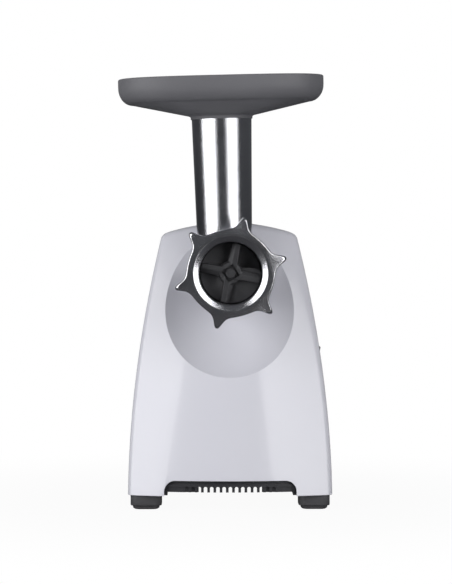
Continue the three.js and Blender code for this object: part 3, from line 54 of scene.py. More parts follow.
# ---------------------------------------------------------------- sizes, in millimetres and degrees
HEAD_LEAN = 1.45
ORIGIN = Vector((centre("front_shell").x, centre("hopper_tray").y, 0))
MILLIMETRE = 0.001
BARREL_Z = centre("ring_nut").z / MILLIMETRE
MACHINE = Matrix.Translation(ORIGIN) @ Matrix.Scale(MILLIMETRE, 4)
BARREL = MACHINE @ Matrix.Translation((0, 0, BARREL_Z))
HEAD = BARREL @ Matrix.Rotation(rad(-HEAD_LEAN), 4, "Y")

# housing: bows are the radii of its front and rear walls in plan
FOOT_HEIGHT = 13
BODY_TOP = 260.6
BASE_HALF = 93
SHOULDER_HALF = 61.8
SIDE_CURVE = 1.9
FRONT_FOOT_Y = -50
FRONT_LEAN = 59.424
FRONT_BEND = 22.683
FRONT_BOW = 282
FRONT_BOW_FALL = 0.65
FRONT_CORNER = 7
REAR_Y = 165
REAR_LEAN = 0.06
REAR_BOW = 420
REAR_CORNER = 24
CROWN_RADIUS = 206.8
CROWN_START_Y = 29
CROWN_DROP = 9
TOP_EDGE = 6
WALL = 2.8
SEAM_Y = 60
GAP = 0.3
SCOOP_RADIUS = 112
SCOOP_Y = -77
ARCH_HALF = 60
ARCH_TOP = 27
ARCH_RADIUS = 10
FAR = 400

# base, feet and screws
BASE_INSET = WALL + 0.6
BASE_SIDE_LOW = 13.3
BASE_SIDE_TOP = 16.6
BASE_FLOOR_LOW = 21
BASE_FLOOR_TOP = 24
LIP_LOW = 16.3
LIP_THICK = 2.6
LIP_SLOTS = 15
LIP_SLOT_STEP = 5.63
LIP_SLOT_HALF = 1.6
LIP_SLOT_LOW = 14.3
LIP_SLOT_ROUND_Z = 19.9
FOOT_X = 76.5
FOOT_YS = (-21, 143)
FOOT_STUD_HOLE = 5.3
SCREW_HOLE = 2.2
SCREW_WELL = 6
SCREW_WELL_BORE = 4.2
SCREW_SEAT_DEPTH = 3
GLAND = (-48, 46)
GLAND_RADIUS = 7
GLAND_COLLAR = 9.6
CORD_HOLE = 3.6

# head, ring, knife and feed screw, along the barrel
SOCKET_RADIUS = 38
SOCKET_FRONT_Y = 28.4
SOCKET_GROOVE_Y = 37.5
SOCKET_GROOVE_WIDTH = 6
SOCKET_GROOVE_RADIUS = 35.8
SOCKET_BORE = 31.5
SPIGOT_END_Y = 47
SOCKET_FLOOR_Y = 48.3
SOCKET_BACK_Y = 53
RELEASE_Y = 50.2
RELEASE_RADIUS = 8.5
BARREL_BORE = 28
BARREL_RADIUS = 33.3
MOUTH_SETBACK = 6.3
RING_FRONT_Y = -72
RING_DEPTH = 25
RING_RADIUS = 39.2
RING_BORE = 28.2
LUG_COUNT = 6
LUG_REACH = 12.2
LUG_ANGLE = 15.5
LUG_SPREAD = 5.6
LUG_FALL = 2.6
KNIFE_FRONT_Y = -62
KNIFE_DEPTH = 5
KNIFE_TURN = 12.4
KNIFE_RADIUS = 27.2
KNIFE_HUB = 9.9
KNIFE_HOLE_HALF = 6
SHANK_HALF = 5.7
PIN_RADIUS = 4.6
THREAD_PITCH = 24
THREAD_CORE = 11
THREAD_END_Y = 29
HEXAGON_ACROSS = 9
COUPLING_Y = 40

# feed tube and tray, up the tube
TUBE_X = -4
TUBE_TOP = 145.5
TUBE_FOOT_RADIUS = 24.6
TUBE_TOP_RADIUS = 27.6
TUBE_WALL = 2.4
TRAY_HALF_LENGTH = 94
TRAY_HALF_DEPTH = 62
TRAY_CORNERS = 3.2
TRAY_EDGE = 11
TRAY_WALL = 2.4
TRAY_RIM_Z = TUBE_TOP + 32
TRAY_FOOT_Z = TRAY_RIM_Z - 22.7
COLLAR_FOOT_Z = 140
SPIGOT_FOOT_Z = 121

# switch panel
PANEL_Y = 108
PANEL_Z = 112
PANEL_WIDTH = 34
PANEL_HEIGHT = 72
ROCKER_Z = 13
ROCKER_HALF_WIDTH = 9.5
ROCKER_HALF_LENGTH = 15.2
BUTTON_Z = -22
BUTTON_RADIUS = 8


# ---------------------------------------------------------------- making solids
def ring_of(bm, points):
    verts = [bm.verts.new(p) for p in points]
    for i, vert in enumerate(verts):
        bm.edges.new((vert, verts[(i + 1) % len(verts)]))
    return verts


def skin(rings, closed=False):
    """A first ring drawn out through the others; ends filled, or joined when closed."""
    bm = bmesh.new()
    ring = ring_of(bm, rings[0])
    if not closed:
        bm.faces.new(ring[::-1])
    count = len(ring)
    for points in rings[1:]:
        edges = [bm.edges.get((v, ring[(i + 1) % count])) for i, v in enumerate(ring)]
        made = bmesh.ops.extrude_edge_only(bm, edges=edges)["geom"]
        fresh = {v for v in made if isinstance(v, bmesh.types.BMVert)}
        following = []
        for vert in ring:
            others = (edge.other_vert(vert) for edge in vert.link_edges)
            following.append(next(v for v in others if v in fresh))
        for vert, point in zip(following, points):
            vert.co = point
        ring = following
    if closed:
        bmesh.ops.remove_doubles(bm, verts=bm.verts, dist=0.0005)
    else:
        bm.faces.new(ring)
    bmesh.ops.recalc_face_normals(bm, faces=bm.faces)
    return bm


def lathe(profile, steps=160, axis="Y", at=(0, 0, 0)):
    """A closed profile of (radius, height) turned about an axis."""
    bm = bmesh.new()
    upright = axis == "Z"
    points = [(r, 0, h) if upright else (r, h, 0) for r, h in profile]
    ring_of(bm, points)
    bmesh.ops.spin(
        bm, geom=bm.verts[:] + bm.edges[:], cent=(0, 0, 0), axis=(0, 0, 1) if upright else (0, 1, 0),
        dvec=(0, 0, 0), angle=2 * math.pi, steps=steps, use_merge=True,
    )
    bmesh.ops.remove_doubles(bm, verts=bm.verts, dist=0.0005)
    bmesh.ops.dissolve_degenerate(bm, edges=bm.edges, dist=0.0002)
    bmesh.ops.recalc_face_normals(bm, faces=bm.faces)
    bmesh.ops.translate(bm, verts=bm.verts, vec=at)
    return bm


def prism(outline, low, high, along="Y"):
    """A flat outline, in x and z along Y or in x and y along Z, drawn out from low to high."""
    bm = bmesh.new()
    flat = [(a, low, b) if along == "Y" else (a, b, low) for a, b in outline]
    face = bm.faces.new([bm.verts.new(p) for p in flat])
    made = bmesh.ops.extrude_face_region(bm, geom=[face])["geom"]
    moved = [v for v in made if isinstance(v, bmesh.types.BMVert)]
    step = (0, high - low, 0) if along == "Y" else (0, 0, high - low)
    bmesh.ops.translate(bm, verts=moved, vec=step)
    bmesh.ops.recalc_face_normals(bm, faces=bm.faces)
    return bm


def rod(centre_at, radius, low, high, along="Y", end_radius=None, steps=64):
    """A round bar from low to high, tapered when it has an end radius."""
    bm = bmesh.new()
    tip = radius if end_radius is None else end_radius
    middle = (low + high) / 2
    a, b = centre_at
    if along == "Y":
        place = Matrix.Translation((a, middle, b)) @ Matrix.Rotation(rad(-90), 4, "X")
    elif along == "X":
        place = Matrix.Translation((middle, a, b)) @ Matrix.Rotation(rad(90), 4, "Y")
    else:
        place = Matrix.Translation((a, b, middle))
    bmesh.ops.create_cone(
        bm, cap_ends=True, segments=steps, radius1=radius, radius2=tip, depth=high - low,
        matrix=place,
    )
    return bm


def block(x0, x1, y0, y1, z0, z1):
    bm = bmesh.new()
    place = Matrix.Translation(((x0 + x1) / 2, (y0 + y1) / 2, (z0 + z1) / 2))
    size = Matrix.Diagonal((x1 - x0, y1 - y0, z1 - z0, 1))
    bmesh.ops.create_cube(bm, size=1, matrix=place @ size)
    return bm


def working(bm):
    mesh = bpy.data.meshes.new("working")
    bm.to_mesh(mesh)
    bm.free()
    thing = bpy.data.objects.new("working", mesh)
    scene.collection.objects.link(thing)
    return thing


def discard(thing):
    mesh = thing.data
    bpy.data.objects.remove(thing)
    bpy.data.meshes.remove(mesh)


def combine(base, tool, operation):
    """The two solids joined, cut or intersected; both are used up."""
    a, b = working(base), working(tool)
    step = a.modifiers.new("combine", "BOOLEAN")
    step.operation = operation
    step.solver = "EXACT"
    step.object = b
    out = bmesh.new()
    out.from_object(a, bpy.context.evaluated_depsgraph_get())
    discard(a)
    discard(b)
    return out


def cut(base, *tools):
    for tool in tools:
        base = combine(base, tool, "DIFFERENCE")
    return base


def join(base, *tools):
    for tool in tools:
        base = combine(base, tool, "UNION")
    return base


def gather(*solids):
    """Solids that stand apart, as one mesh."""
    first, *rest = solids
    for bm in rest:
        mesh = bpy.data.meshes.new("gathered")
        bm.to_mesh(mesh)
        bm.free()
        first.from_mesh(mesh)
        bpy.data.meshes.remove(mesh)
    return first


def cast(bm, voxel, smoothing):
    """The soft fillets of a casting."""
    thing = working(bm)
    step = thing.modifiers.new("remesh", "REMESH")
    step.mode = "VOXEL"
    step.voxel_size = voxel
    out = bmesh.new()
    out.from_object(thing, bpy.context.evaluated_depsgraph_get())
    discard(thing)
    for _ in range(smoothing):
        bmesh.ops.smooth_vert(
            out, verts=out.verts, factor=0.5, use_axis_x=True, use_axis_y=True, use_axis_z=True,
        )
    return out


def rounded(width, height, radius, steps=8):
    """The outline of a rectangle with round corners."""
    points = []
    corners = ((1, 1, 0), (-1, 1, 90), (-1, -1, 180), (1, -1, 270))
    for sx, sy, start in corners:
        for i in range(steps + 1):
            a = rad(start + 90 * i / steps)
            points.append((
                sx * (width / 2 - radius) + radius * math.cos(a),
                sy * (height / 2 - radius) + radius * math.sin(a),
            ))
    return points


def soften(bm, offset, test, segments=2):
    """Rounds the sharp edges that pass the test."""
    chosen = []
    for edge in bm.edges:
        if len(edge.link_faces) == 2 and edge.calc_face_angle(0) > rad(35) and test(edge):
            chosen.append(edge)
    bmesh.ops.bevel(
        bm, geom=chosen, offset=offset, affect="EDGES", segments=segments, profile=0.5,
        material=-1, clamp_overlap=True,
    )
    return bm


def piece(name, bm, body, slot, nodes, place=MACHINE, sharp=32):
    """A finished piece that rides on a body and stands for the nodes; sharp is in degrees."""
    bmesh.ops.remove_doubles(bm, verts=bm.verts, dist=0.003)
    bmesh.ops.dissolve_degenerate(bm, edges=bm.edges, dist=0.001)
    bm.transform(place)
    mesh = bpy.data.meshes.new(name)
    bm.to_mesh(mesh)
    bm.free()
    mesh.shade_smooth()
    mesh.set_sharp_from_angle(angle=rad(sharp))
    thing = bpy.data.objects.new(name, mesh)
    scene.collection.objects.link(thing)
    mesh.materials.append(FINISHES[slot])
    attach(thing, body)
    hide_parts(*nodes)
    return thing


# ---------------------------------------------------------------- finishes
def new_group(name, inputs, outputs):
    tree = bpy.data.node_groups.new(name, "ShaderNodeTree")
    for label, kind in inputs:
        tree.interface.new_socket(name=label, in_out="INPUT", socket_type=kind)
    for label, kind in outputs:
        tree.interface.new_socket(name=label, in_out="OUTPUT", socket_type=kind)
    return tree, tree.nodes.new("NodeGroupInput"), tree.nodes.new("NodeGroupOutput")


def noise(tree, vector, scale, detail=3.0):
    node = tree.nodes.new("ShaderNodeTexNoise")
    node.inputs["Detail"].default_value = detail
    tree.links.new(vector, node.inputs["Vector"])
    tree.links.new(scale, node.inputs["Scale"])
    return node.outputs["Fac"]


def surface_group():
    """Broad clouds in colour and polish, and a fine grain in height."""
    number, colour = "NodeSocketFloat", "NodeSocketColor"
    tree, ins, outs = new_group(
        "surface_detail",
        (("Colour", colour), ("Second colour", colour), ("Cloud scale", number),
         ("Grain scale", number), ("Smoothest", number), ("Roughest", number)),
        (("Colour", colour), ("Roughness", number), ("Height", number)),
    )
    here = tree.nodes.new("ShaderNodeTexCoord").outputs["Object"]
    cloud = noise(tree, here, ins.outputs["Cloud scale"])
    grain = noise(tree, here, ins.outputs["Grain scale"], 2.0)
    mix = tree.nodes.new("ShaderNodeMix")
    mix.data_type = "RGBA"
    tree.links.new(cloud, mix.inputs["Factor"])
    tree.links.new(ins.outputs["Colour"], mix.inputs[6])
    tree.links.new(ins.outputs["Second colour"], mix.inputs[7])
    spread = tree.nodes.new("ShaderNodeMapRange")
    blend = tree.nodes.new("ShaderNodeMath")
    blend.operation = "MULTIPLY_ADD"
    blend.inputs[1].default_value = 0.5
    tree.links.new(grain, blend.inputs[0])
    half = tree.nodes.new("ShaderNodeMath")
    half.operation = "MULTIPLY"
    half.inputs[1].default_value = 0.5
    tree.links.new(cloud, half.inputs[0])
    tree.links.new(half.outputs[0], blend.inputs[2])
    tree.links.new(blend.outputs[0], spread.inputs["Value"])
    spread.inputs["From Min"].default_value = 0.3
    spread.inputs["From Max"].default_value = 0.7
    tree.links.new(ins.outputs["Smoothest"], spread.inputs["To Min"])
    tree.links.new(ins.outputs["Roughest"], spread.inputs["To Max"])
    tree.links.new(mix.outputs[2], outs.inputs["Colour"])
    tree.links.new(spread.outputs["Result"], outs.inputs["Roughness"])
    tree.links.new(grain, outs.inputs["Height"])
    return tree


def line_group():
    """Fine marks drawn out along one direction: polishing, turning, laminations."""
    number, vector = "NodeSocketFloat", "NodeSocketVector"
    tree, ins, outs = new_group(
        "drawn_lines", (("Stretch", vector), ("Scale", number)), (("Height", number),),
    )
    here = tree.nodes.new("ShaderNodeTexCoord").outputs["Object"]
    stretch = tree.nodes.new("ShaderNodeVectorMath")
    stretch.operation = "MULTIPLY"
    tree.links.new(here, stretch.inputs[0])
    tree.links.new(ins.outputs["Stretch"], stretch.inputs[1])
    lines = noise(tree, stretch.outputs[0], ins.outputs["Scale"], 2.0)
    tree.links.new(lines, outs.inputs["Height"])
    return tree


SURFACE = surface_group()
LINES = line_group()


def finish(name, colour, second, rough, grain, bump, metal=0.0, clouds=45.0, coat=0.0,
           lines=None, line_bump=0.0):
    """Two colours in clouds, a range of roughness, grain, and drawn lines; bumps in metres."""
    made = bpy.data.materials.new(name)
    made.use_nodes = True
    tree = made.node_tree
    shader = tree.nodes["Principled BSDF"]
    detail = tree.nodes.new("ShaderNodeGroup")
    detail.node_tree = SURFACE
    detail.inputs["Colour"].default_value = (*colour, 1)
    detail.inputs["Second colour"].default_value = (*second, 1)
    detail.inputs["Cloud scale"].default_value = clouds
    detail.inputs["Grain scale"].default_value = grain
    detail.inputs["Smoothest"].default_value = rough[0]
    detail.inputs["Roughest"].default_value = rough[1]
    tree.links.new(detail.outputs["Colour"], shader.inputs["Base Color"])
    tree.links.new(detail.outputs["Roughness"], shader.inputs["Roughness"])
    relief = tree.nodes.new("ShaderNodeBump")
    relief.inputs["Strength"].default_value = 1.0
    relief.inputs["Distance"].default_value = bump
    tree.links.new(detail.outputs["Height"], relief.inputs["Height"])
    last = relief
    if lines:
        marks = tree.nodes.new("ShaderNodeGroup")
        marks.node_tree = LINES
        marks.inputs["Stretch"].default_value = lines
        marks.inputs["Scale"].default_value = 1.0
        last = tree.nodes.new("ShaderNodeBump")
        last.inputs["Strength"].default_value = 1.0
        last.inputs["Distance"].default_value = line_bump
        tree.links.new(marks.outputs["Height"], last.inputs["Height"])
        tree.links.new(relief.outputs["Normal"], last.inputs["Normal"])
    tree.links.new(last.outputs["Normal"], shader.inputs["Normal"])
    shader.inputs["Metallic"].default_value = metal
    shader.inputs["Coat Weight"].default_value = coat
    shader.inputs["Coat Roughness"].default_value = 0.06
    return made


FINISHES = {
    "white_gloss": finish("gloss_white", (0.70, 0.70, 0.765), (0.725, 0.725, 0.78),
                          (0.12, 0.2), 900, 0.000004, clouds=14, coat=0.25),
    "dark_plastic": finish("moulded_charcoal", (0.026, 0.026, 0.031), (0.036, 0.036, 0.042),
                           (0.38, 0.5), 3200, 0.00003),
    "tray_plastic": finish("moulded_tray_grey", (0.125, 0.125, 0.136), (0.15, 0.15, 0.162),
                           (0.46, 0.6), 2600, 0.00004, clouds=22),
    "polished_aluminium": finish("polished_casting", (0.62, 0.62, 0.65), (0.70, 0.70, 0.73),
                                 (0.12, 0.24), 1300, 0.00011, metal=1, clouds=60,
                                 lines=(120, 120, 1400), line_bump=0.00001),
    "cast_grey": finish("blasted_casting", (0.036, 0.036, 0.039), (0.056, 0.056, 0.06),
                        (0.42, 0.58), 1500, 0.0001, metal=0.45, clouds=90),
    "steel": finish("turned_steel", (0.42, 0.42, 0.44), (0.52, 0.52, 0.54), (0.22, 0.36),
                    2200, 0.00001, metal=1, lines=(300, 3000, 300), line_bump=0.00001),
    "rubber": finish("moulded_rubber", (0.052, 0.052, 0.056), (0.072, 0.072, 0.076),
                     (0.6, 0.78), 2400, 0.00006),
    "nylon": finish("natural_nylon", (0.70, 0.67, 0.57), (0.76, 0.73, 0.64), (0.38, 0.5),
                    1800, 0.00002),
    "copper": finish("enamelled_copper", (0.55, 0.2, 0.08), (0.66, 0.28, 0.12), (0.25, 0.38),
                     1800, 0.00001, metal=1, lines=(1600, 1600, 200), line_bump=0.00012),
    "carbon": finish("pressed_carbon", (0.015, 0.015, 0.016), (0.03, 0.03, 0.03), (0.55, 0.7),
                     3000, 0.00004),
    "lamination": finish("stacked_laminations", (0.16, 0.17, 0.18), (0.22, 0.23, 0.24),
                         (0.4, 0.55), 1800, 0.00002, metal=0.9, lines=(20, 2000, 20),
                         line_bump=0.0001),
    "gearbox_cast": finish("die_cast_zinc", (0.3, 0.3, 0.31), (0.38, 0.38, 0.39), (0.42, 0.58),
                           1200, 0.00006, metal=0.9),
    "board": finish("circuit_board", (0.02, 0.14, 0.07), (0.03, 0.18, 0.09), (0.35, 0.5),
                    1600, 0.00002, clouds=220),
    "capacitor_sleeve": finish("capacitor_sleeve", (0.02, 0.05, 0.16), (0.03, 0.07, 0.2),
                               (0.3, 0.4), 1500, 0.00001),
}


# ---------------------------------------------------------------- housing form
SIDE_SPAN = BODY_TOP - TOP_EDGE - FOOT_HEIGHT
# steps along half of each end, and round its corner
FRONT_STEPS = (40, 8)
REAR_STEPS = (22, 12)


def half_width(z):
    rise = max(0, z - FOOT_HEIGHT) / SIDE_SPAN
    return BASE_HALF - (BASE_HALF - SHOULDER_HALF) * rise ** SIDE_CURVE


def front_y(z):
    rise = (z - FOOT_HEIGHT) / (BODY_TOP - FOOT_HEIGHT)
    return FRONT_FOOT_Y + FRONT_LEAN * rise + FRONT_BEND * rise * rise


def front_bow(z):
    return FRONT_BOW - FRONT_BOW_FALL * (z - FOOT_HEIGHT)


def rear_y(z):
    return REAR_Y - REAR_LEAN * (z - FOOT_HEIGHT)


def fall_back(bow, x):
    """How far a wall of this bow has fallen back at x from its middle."""
    return bow - math.sqrt(bow * bow - x * x)


def crown_z(x, y):
    """Height of the top, bowed from side to side and dropping towards the rear."""
    back = max(0, y - CROWN_START_Y) / (REAR_Y - CROWN_START_Y)
    return BODY_TOP - x * x / (2 * CROWN_RADIUS) - CROWN_DROP * back * back


def end_arc(apex, radius, half, corner, sign, arc_steps, corner_steps):
    """From the middle of one end of the plan round to its right-hand corner."""
    middle = apex - sign * radius
    corner_x = half - corner
    reach = radius - corner
    corner_y = middle + sign * math.sqrt(reach * reach - corner_x * corner_x)
    spread = math.asin(corner_x / reach)
    points = []
    for i in range(arc_steps + 1):
        a = spread * i / arc_steps
        points.append((radius * math.sin(a), middle + sign * radius * math.cos(a)))
    for i in range(1, corner_steps + 1):
        a = spread + (math.pi / 2 - spread) * i / corner_steps
        points.append((corner_x + corner * math.sin(a), corner_y + sign * corner * math.cos(a)))
    return points


def plan(z, inset):
    """The housing's outline at one height, its wall drawn in by the inset."""
    half = half_width(z) - inset
    front = end_arc(front_y(z) + inset, front_bow(z) - inset, half, FRONT_CORNER - inset / 2, -1,
                    *FRONT_STEPS)
    rear = end_arc(rear_y(z) - inset, REAR_BOW - inset, half, REAR_CORNER - inset, 1, *REAR_STEPS)
    right = front + rear[::-1]
    left = [(-x, y) for x, y in right[1:-1][::-1]]
    return right + left


plan_store = {}


def plan_point(z, inset, i):
    key = (round(z, 4), round(inset, 4))
    if key not in plan_store:
        plan_store[key] = plan(z, inset)
    return plan_store[key][i]


def housing_form(inset, foot, foot_radius=0.0, levels=26):
    """The whole housing as one solid, drawn in by the inset, standing on foot."""
    rim = plan(BODY_TOP - TOP_EDGE, inset)
    tops = [crown_z(x, y) - inset for x, y in rim]
    radius = TOP_EDGE - inset / 2

    def ring(height_of, pull):
        points = []
        for i, top in enumerate(tops):
            z = height_of(top)
            points.append((*plan_point(z, inset + pull, i), z))
        return points

    rings = []
    for angle in (90, 60, 30) if foot_radius else ():
        pull = foot_radius * (1 - math.cos(rad(angle)))
        rings.append(ring(lambda top: foot + foot_radius * (1 - math.sin(rad(angle))), pull))
    for k in range(levels + 1):
        share = k / levels
        start = foot + foot_radius
        rings.append(ring(lambda top: start + (top - radius - start) * share, 0))
    for angle in (12, 24, 36, 48, 60, 70, 80, 90):
        pull = radius * (1 - math.cos(rad(angle)))
        rise = radius * math.sin(rad(angle))
        rings.append(ring(lambda top: top - radius + rise, pull))
    edge = rings[-1]
    middle_y = (front_y(BODY_TOP) + rear_y(BODY_TOP)) / 2
    for share in (0.95, 0.88, 0.78, 0.66, 0.54, 0.42, 0.3, 0.18, 0.07):
        points = []
        for x0, y0, z0 in edge:
            x = x0 * share
            y = middle_y + (y0 - middle_y) * share
            drop = crown_z(x0, y0) - inset - z0
            points.append((x, y, crown_z(x, y) - inset - drop * share))
        rings.append(points)
    return skin(rings)


def scoop(radius):
    """The ball that hollows the front about the barrel."""
    bm = bmesh.new()
    place = Matrix.Translation((0, SCOOP_Y, BARREL_Z)) @ Matrix.Rotation(rad(90), 4, "X")
    bmesh.ops.create_uvsphere(bm, u_segments=150, v_segments=90, radius=radius, matrix=place)
    return bm


# ---------------------------------------------------------------- switch panel place
side_slope = (BASE_HALF - SHOULDER_HALF) * SIDE_CURVE / SIDE_SPAN
panel_lean = math.atan(side_slope * ((PANEL_Z - FOOT_HEIGHT) / SIDE_SPAN) ** (SIDE_CURVE - 1))
on_wall = Matrix.Translation((half_width(PANEL_Z), PANEL_Y, PANEL_Z))
PANEL = on_wall @ Matrix.Rotation(-panel_lean, 4, "Y")
TO_PANEL = MACHINE @ PANEL


def panel_plate(width, height, radius, x0, x1, at_z=0):
    """A rounded plate in the panel's frame, where x points out of the side wall."""
    bm = prism(rounded(width, height, radius), x0, x1, "Z")
    turn = Matrix(((0, 0, 1, 0), (1, 0, 0, 0), (0, 1, 0, at_z), (0, 0, 0, 1)))
    bm.transform(turn)
    return bm


# ---------------------------------------------------------------- shells
SCREW_PLACES = {
    "lower_left": (15 - BASE_HALF, 52), "lower_right": (BASE_HALF - 15, 52),
    "upper_left": (8.8 - SHOULDER_HALF, BODY_TOP - 39.6),
    "upper_right": (SHOULDER_HALF - 8.8, BODY_TOP - 39.6),
}
BASE_SCREW_X = BASE_HALF - 13
BASE_SCREW_YS = (15, 112)


def arch(y0, y1):
    """The opening at the foot of the front wall."""
    half, top, radius = ARCH_HALF, ARCH_TOP, ARCH_RADIUS
    outline = [(-half, 0), (half, 0)]
    for start, side in ((0, 1), (90, -1)):
        for i in range(13):
            a = rad(start + 90 * i / 12)
            outline.append((
                side * (half - radius) + radius * math.cos(a), top - radius + radius * math.sin(a),
            ))
    return prism(outline, y0, y1)


def make_shells():
    """One hollow form, split at the seam into the front and the rear."""
    cavity = cut(housing_form(WALL, FOOT_HEIGHT - 1, levels=10), scoop(SCOOP_RADIUS + WALL))
    outer = housing_form(0, FOOT_HEIGHT, foot_radius=0.8)
    shell = cut(outer, scoop(SCOOP_RADIUS), cavity)
    rear = shell.copy()
    front = combine(shell, block(-FAR, FAR, -FAR, SEAM_Y, -1, FAR), "INTERSECT")
    front = cut(
        front, arch(-70, 40), rod((0, BARREL_Z), SOCKET_RADIUS + GAP, 0, 50, steps=128),
        rod((0, RELEASE_Y), RELEASE_RADIUS + 0.4, BODY_TOP - 12, BODY_TOP + 5, "Z"),
    )

    def arch_edge(edge):
        middle = (edge.verts[0].co + edge.verts[1].co) / 2
        wall_y = front_y(middle.z) + fall_back(front_bow(middle.z), middle.x)
        outside = middle.y < wall_y + 0.4
        inside_arch = abs(middle.x) < ARCH_HALF + 0.1 and middle.z < ARCH_TOP + 0.1
        return outside and inside_arch and middle.z > FOOT_HEIGHT + 1.2

    bmesh.ops.remove_doubles(front, verts=front.verts, dist=0.01)
    front = soften(front, 0.7, arch_edge, 3)
    piece("front_housing", front, "housing", "white_gloss", ("front_shell",), sharp=24)

    rear = combine(rear, block(-FAR, FAR, SEAM_Y + GAP, FAR, -1, FAR), "INTERSECT")
    form = housing_form(0.05, FOOT_HEIGHT, levels=8)
    places = SCREW_PLACES.values()
    seam = SEAM_Y + GAP
    wells = gather(*(rod(p, SCREW_WELL, seam + 0.01, REAR_Y, steps=40) for p in places))
    bores = (
        rod(p, SCREW_WELL_BORE, seam + SCREW_SEAT_DEPTH, REAR_Y + 10, steps=40) for p in places
    )
    holes = (rod(p, SCREW_HOLE, SEAM_Y - 1, SEAM_Y + 5, steps=24) for p in places)
    rear = join(rear, combine(wells, form, "INTERSECT"))
    rear = cut(
        rear, gather(*bores), gather(*holes),
        rod(GLAND, GLAND_RADIUS + GAP, REAR_Y - 20, REAR_Y + 9, steps=48),
    )
    hole = panel_plate(PANEL_WIDTH - 5, PANEL_HEIGHT - 5, 6, -12, 6)
    hole.transform(PANEL)
    rear = cut(rear, hole)
    piece("rear_housing", rear, "housing", "white_gloss", ("rear_shell",), sharp=24)


# ---------------------------------------------------------------- base and feet
def make_base():
    """Two low sides, a raised floor between them, webs down to the sides, and a front lip."""
    inner = ARCH_HALF - 3
    lip_top = ARCH_TOP + 4
    outline = plan(ARCH_TOP, BASE_INSET)
    sides = cut(
        prism(outline, BASE_SIDE_LOW, BASE_SIDE_TOP, "Z"),
        block(-inner, inner, -FAR, FAR, 0, BASE_FLOOR_LOW),
    )
    floor = combine(
        prism(outline, BASE_FLOOR_LOW, BASE_FLOOR_TOP, "Z"),
        block(-ARCH_HALF, ARCH_HALF, -FAR, FAR, 0, FAR), "INTERSECT",
    )
    webs = combine(
        prism(outline, BASE_SIDE_LOW, BASE_FLOOR_TOP, "Z"),
        gather(block(-ARCH_HALF, -inner, -FAR, FAR, 0, FAR),
               block(inner, ARCH_HALF, -FAR, FAR, 0, FAR)), "INTERSECT",
    )
    lip = cut(
        prism(plan(lip_top, BASE_INSET), LIP_LOW, lip_top, "Z"),
        prism(plan(lip_top, BASE_INSET + LIP_THICK), 0, FAR, "Z"),
    )
    lip = combine(lip, block(-ARCH_HALF, ARCH_HALF, -FAR, 0, 0, FAR), "INTERSECT")
    base = join(sides, floor, webs, lip)
    slots, vents = [], []
    half = LIP_SLOT_HALF
    for i in range(LIP_SLOTS):
        x = (i - LIP_SLOTS // 2) * LIP_SLOT_STEP
        outline = [(x - half, LIP_SLOT_LOW), (x + half, LIP_SLOT_LOW)]
        for k in range(13):
            a = math.pi * k / 12
            outline.append((x + half * math.cos(a), LIP_SLOT_ROUND_Z + half * math.sin(a)))
        slots.append(prism(outline, -55, -38))
        if i % 3 == 1:
            vents.append(block(x - half, x + half, 0, 36, 20, 25))
    holes = [rod((x, y), FOOT_STUD_HOLE, 0, 21, "Z", steps=32)
             for x in (-FOOT_X, FOOT_X) for y in FOOT_YS]
    holes += [rod((x, y), SCREW_HOLE, 0, 20, "Z", steps=20)
              for x in (-BASE_SCREW_X, BASE_SCREW_X) for y in BASE_SCREW_YS]
    base = cut(base, gather(*slots), gather(*vents), gather(*holes))
    posts = gather(*(rod(p, 3, 23, 33.7, "Z", steps=24)
                     for p in ((-38, 92), (38, 92), (-38, 142), (38, 142))))
    piece("base_tray", join(base, posts), "housing", "dark_plastic", ("base_plate",))


def make_feet():
    """Four square feet, each with a round-edged stud up into the base."""
    # height, width and corner radius of each ring up the foot and its stud
    steps = (
        (0.0, 20.6, 5.2), (0.35, 21.9, 5.6), (1.2, 24.0, 6.0), (3.1, 24.3, 6.0),
        (3.4, 24.8, 6.2), (3.4, 27.5, 6.8), (3.7, 28.2, 7.0), (4.3, 28.5, 7.0),
        (12.4, 28.5, 7.0), (13.0, 28.0, 6.8), (13.0, 10.0, 5.0), (17.3, 10.0, 5.0),
        (17.6, 9.4, 4.7),
    )
    for end, y in zip(("front", "rear"), FOOT_YS):
        for side, x in (("left", -FOOT_X), ("right", FOOT_X)):
            rings = [
                [(x + a, y + b, z) for a, b in rounded(width, width, radius)]
                for z, width, radius in steps
            ]
            piece(f"rubber_foot_{end}_{side}", skin(rings), "housing", "rubber",
                  (f"foot_{end}_{side}",), sharp=40)


# ---------------------------------------------------------------- screws
def screw(shank):
    """Head under z = 0 with a cross recess, shank up."""
    body = lathe([
        (0, -2.4), (2.2, -2.4), (3.1, -2.1), (3.6, -1.3), (3.6, 0), (1.9, 0), (1.9, shank - 1),
        (0.6, shank), (0, shank),
    ], 48, "Z")
    cross = join(block(-2, 2, -0.45, 0.45, -3, -1.1), block(-0.45, 0.45, -2, 2, -3, -1.1))
    return cut(body, cross)


def make_screws():
    forward = Matrix.Rotation(rad(90), 4, "X")
    seat_y = SEAM_Y + 2 * GAP + SCREW_SEAT_DEPTH
    for name, (x, z) in SCREW_PLACES.items():
        bm = screw(20)
        bm.transform(Matrix.Translation((x, seat_y, z)) @ forward)
        piece(f"case_screw_{name}", bm, "housing", "steel", (f"housing_screw_{name}",))
    for side, x in (("left", -BASE_SCREW_X), ("right", BASE_SCREW_X)):
        for end, y in zip(("front", "rear"), BASE_SCREW_YS):
            bm = screw(14)
            bm.transform(Matrix.Translation((x, y, FOOT_HEIGHT)))
            piece(f"floor_screw_{end}_{side}", bm, "housing", "steel",
                  (f"base_screw_{end}_{side}",))


# ---------------------------------------------------------------- tray
def oval(half_x, half_y, power, z, count=160):
    """An oval about the tube, squarer as the power grows."""
    points = []
    for i in range(count):
        a = 2 * math.pi * i / count
        c, s = math.cos(a), math.sin(a)
        points.append((
            TUBE_X + half_x * math.copysign(abs(c) ** (2 / power), c),
            half_y * math.copysign(abs(s) ** (2 / power), s), z,
        ))
    return points


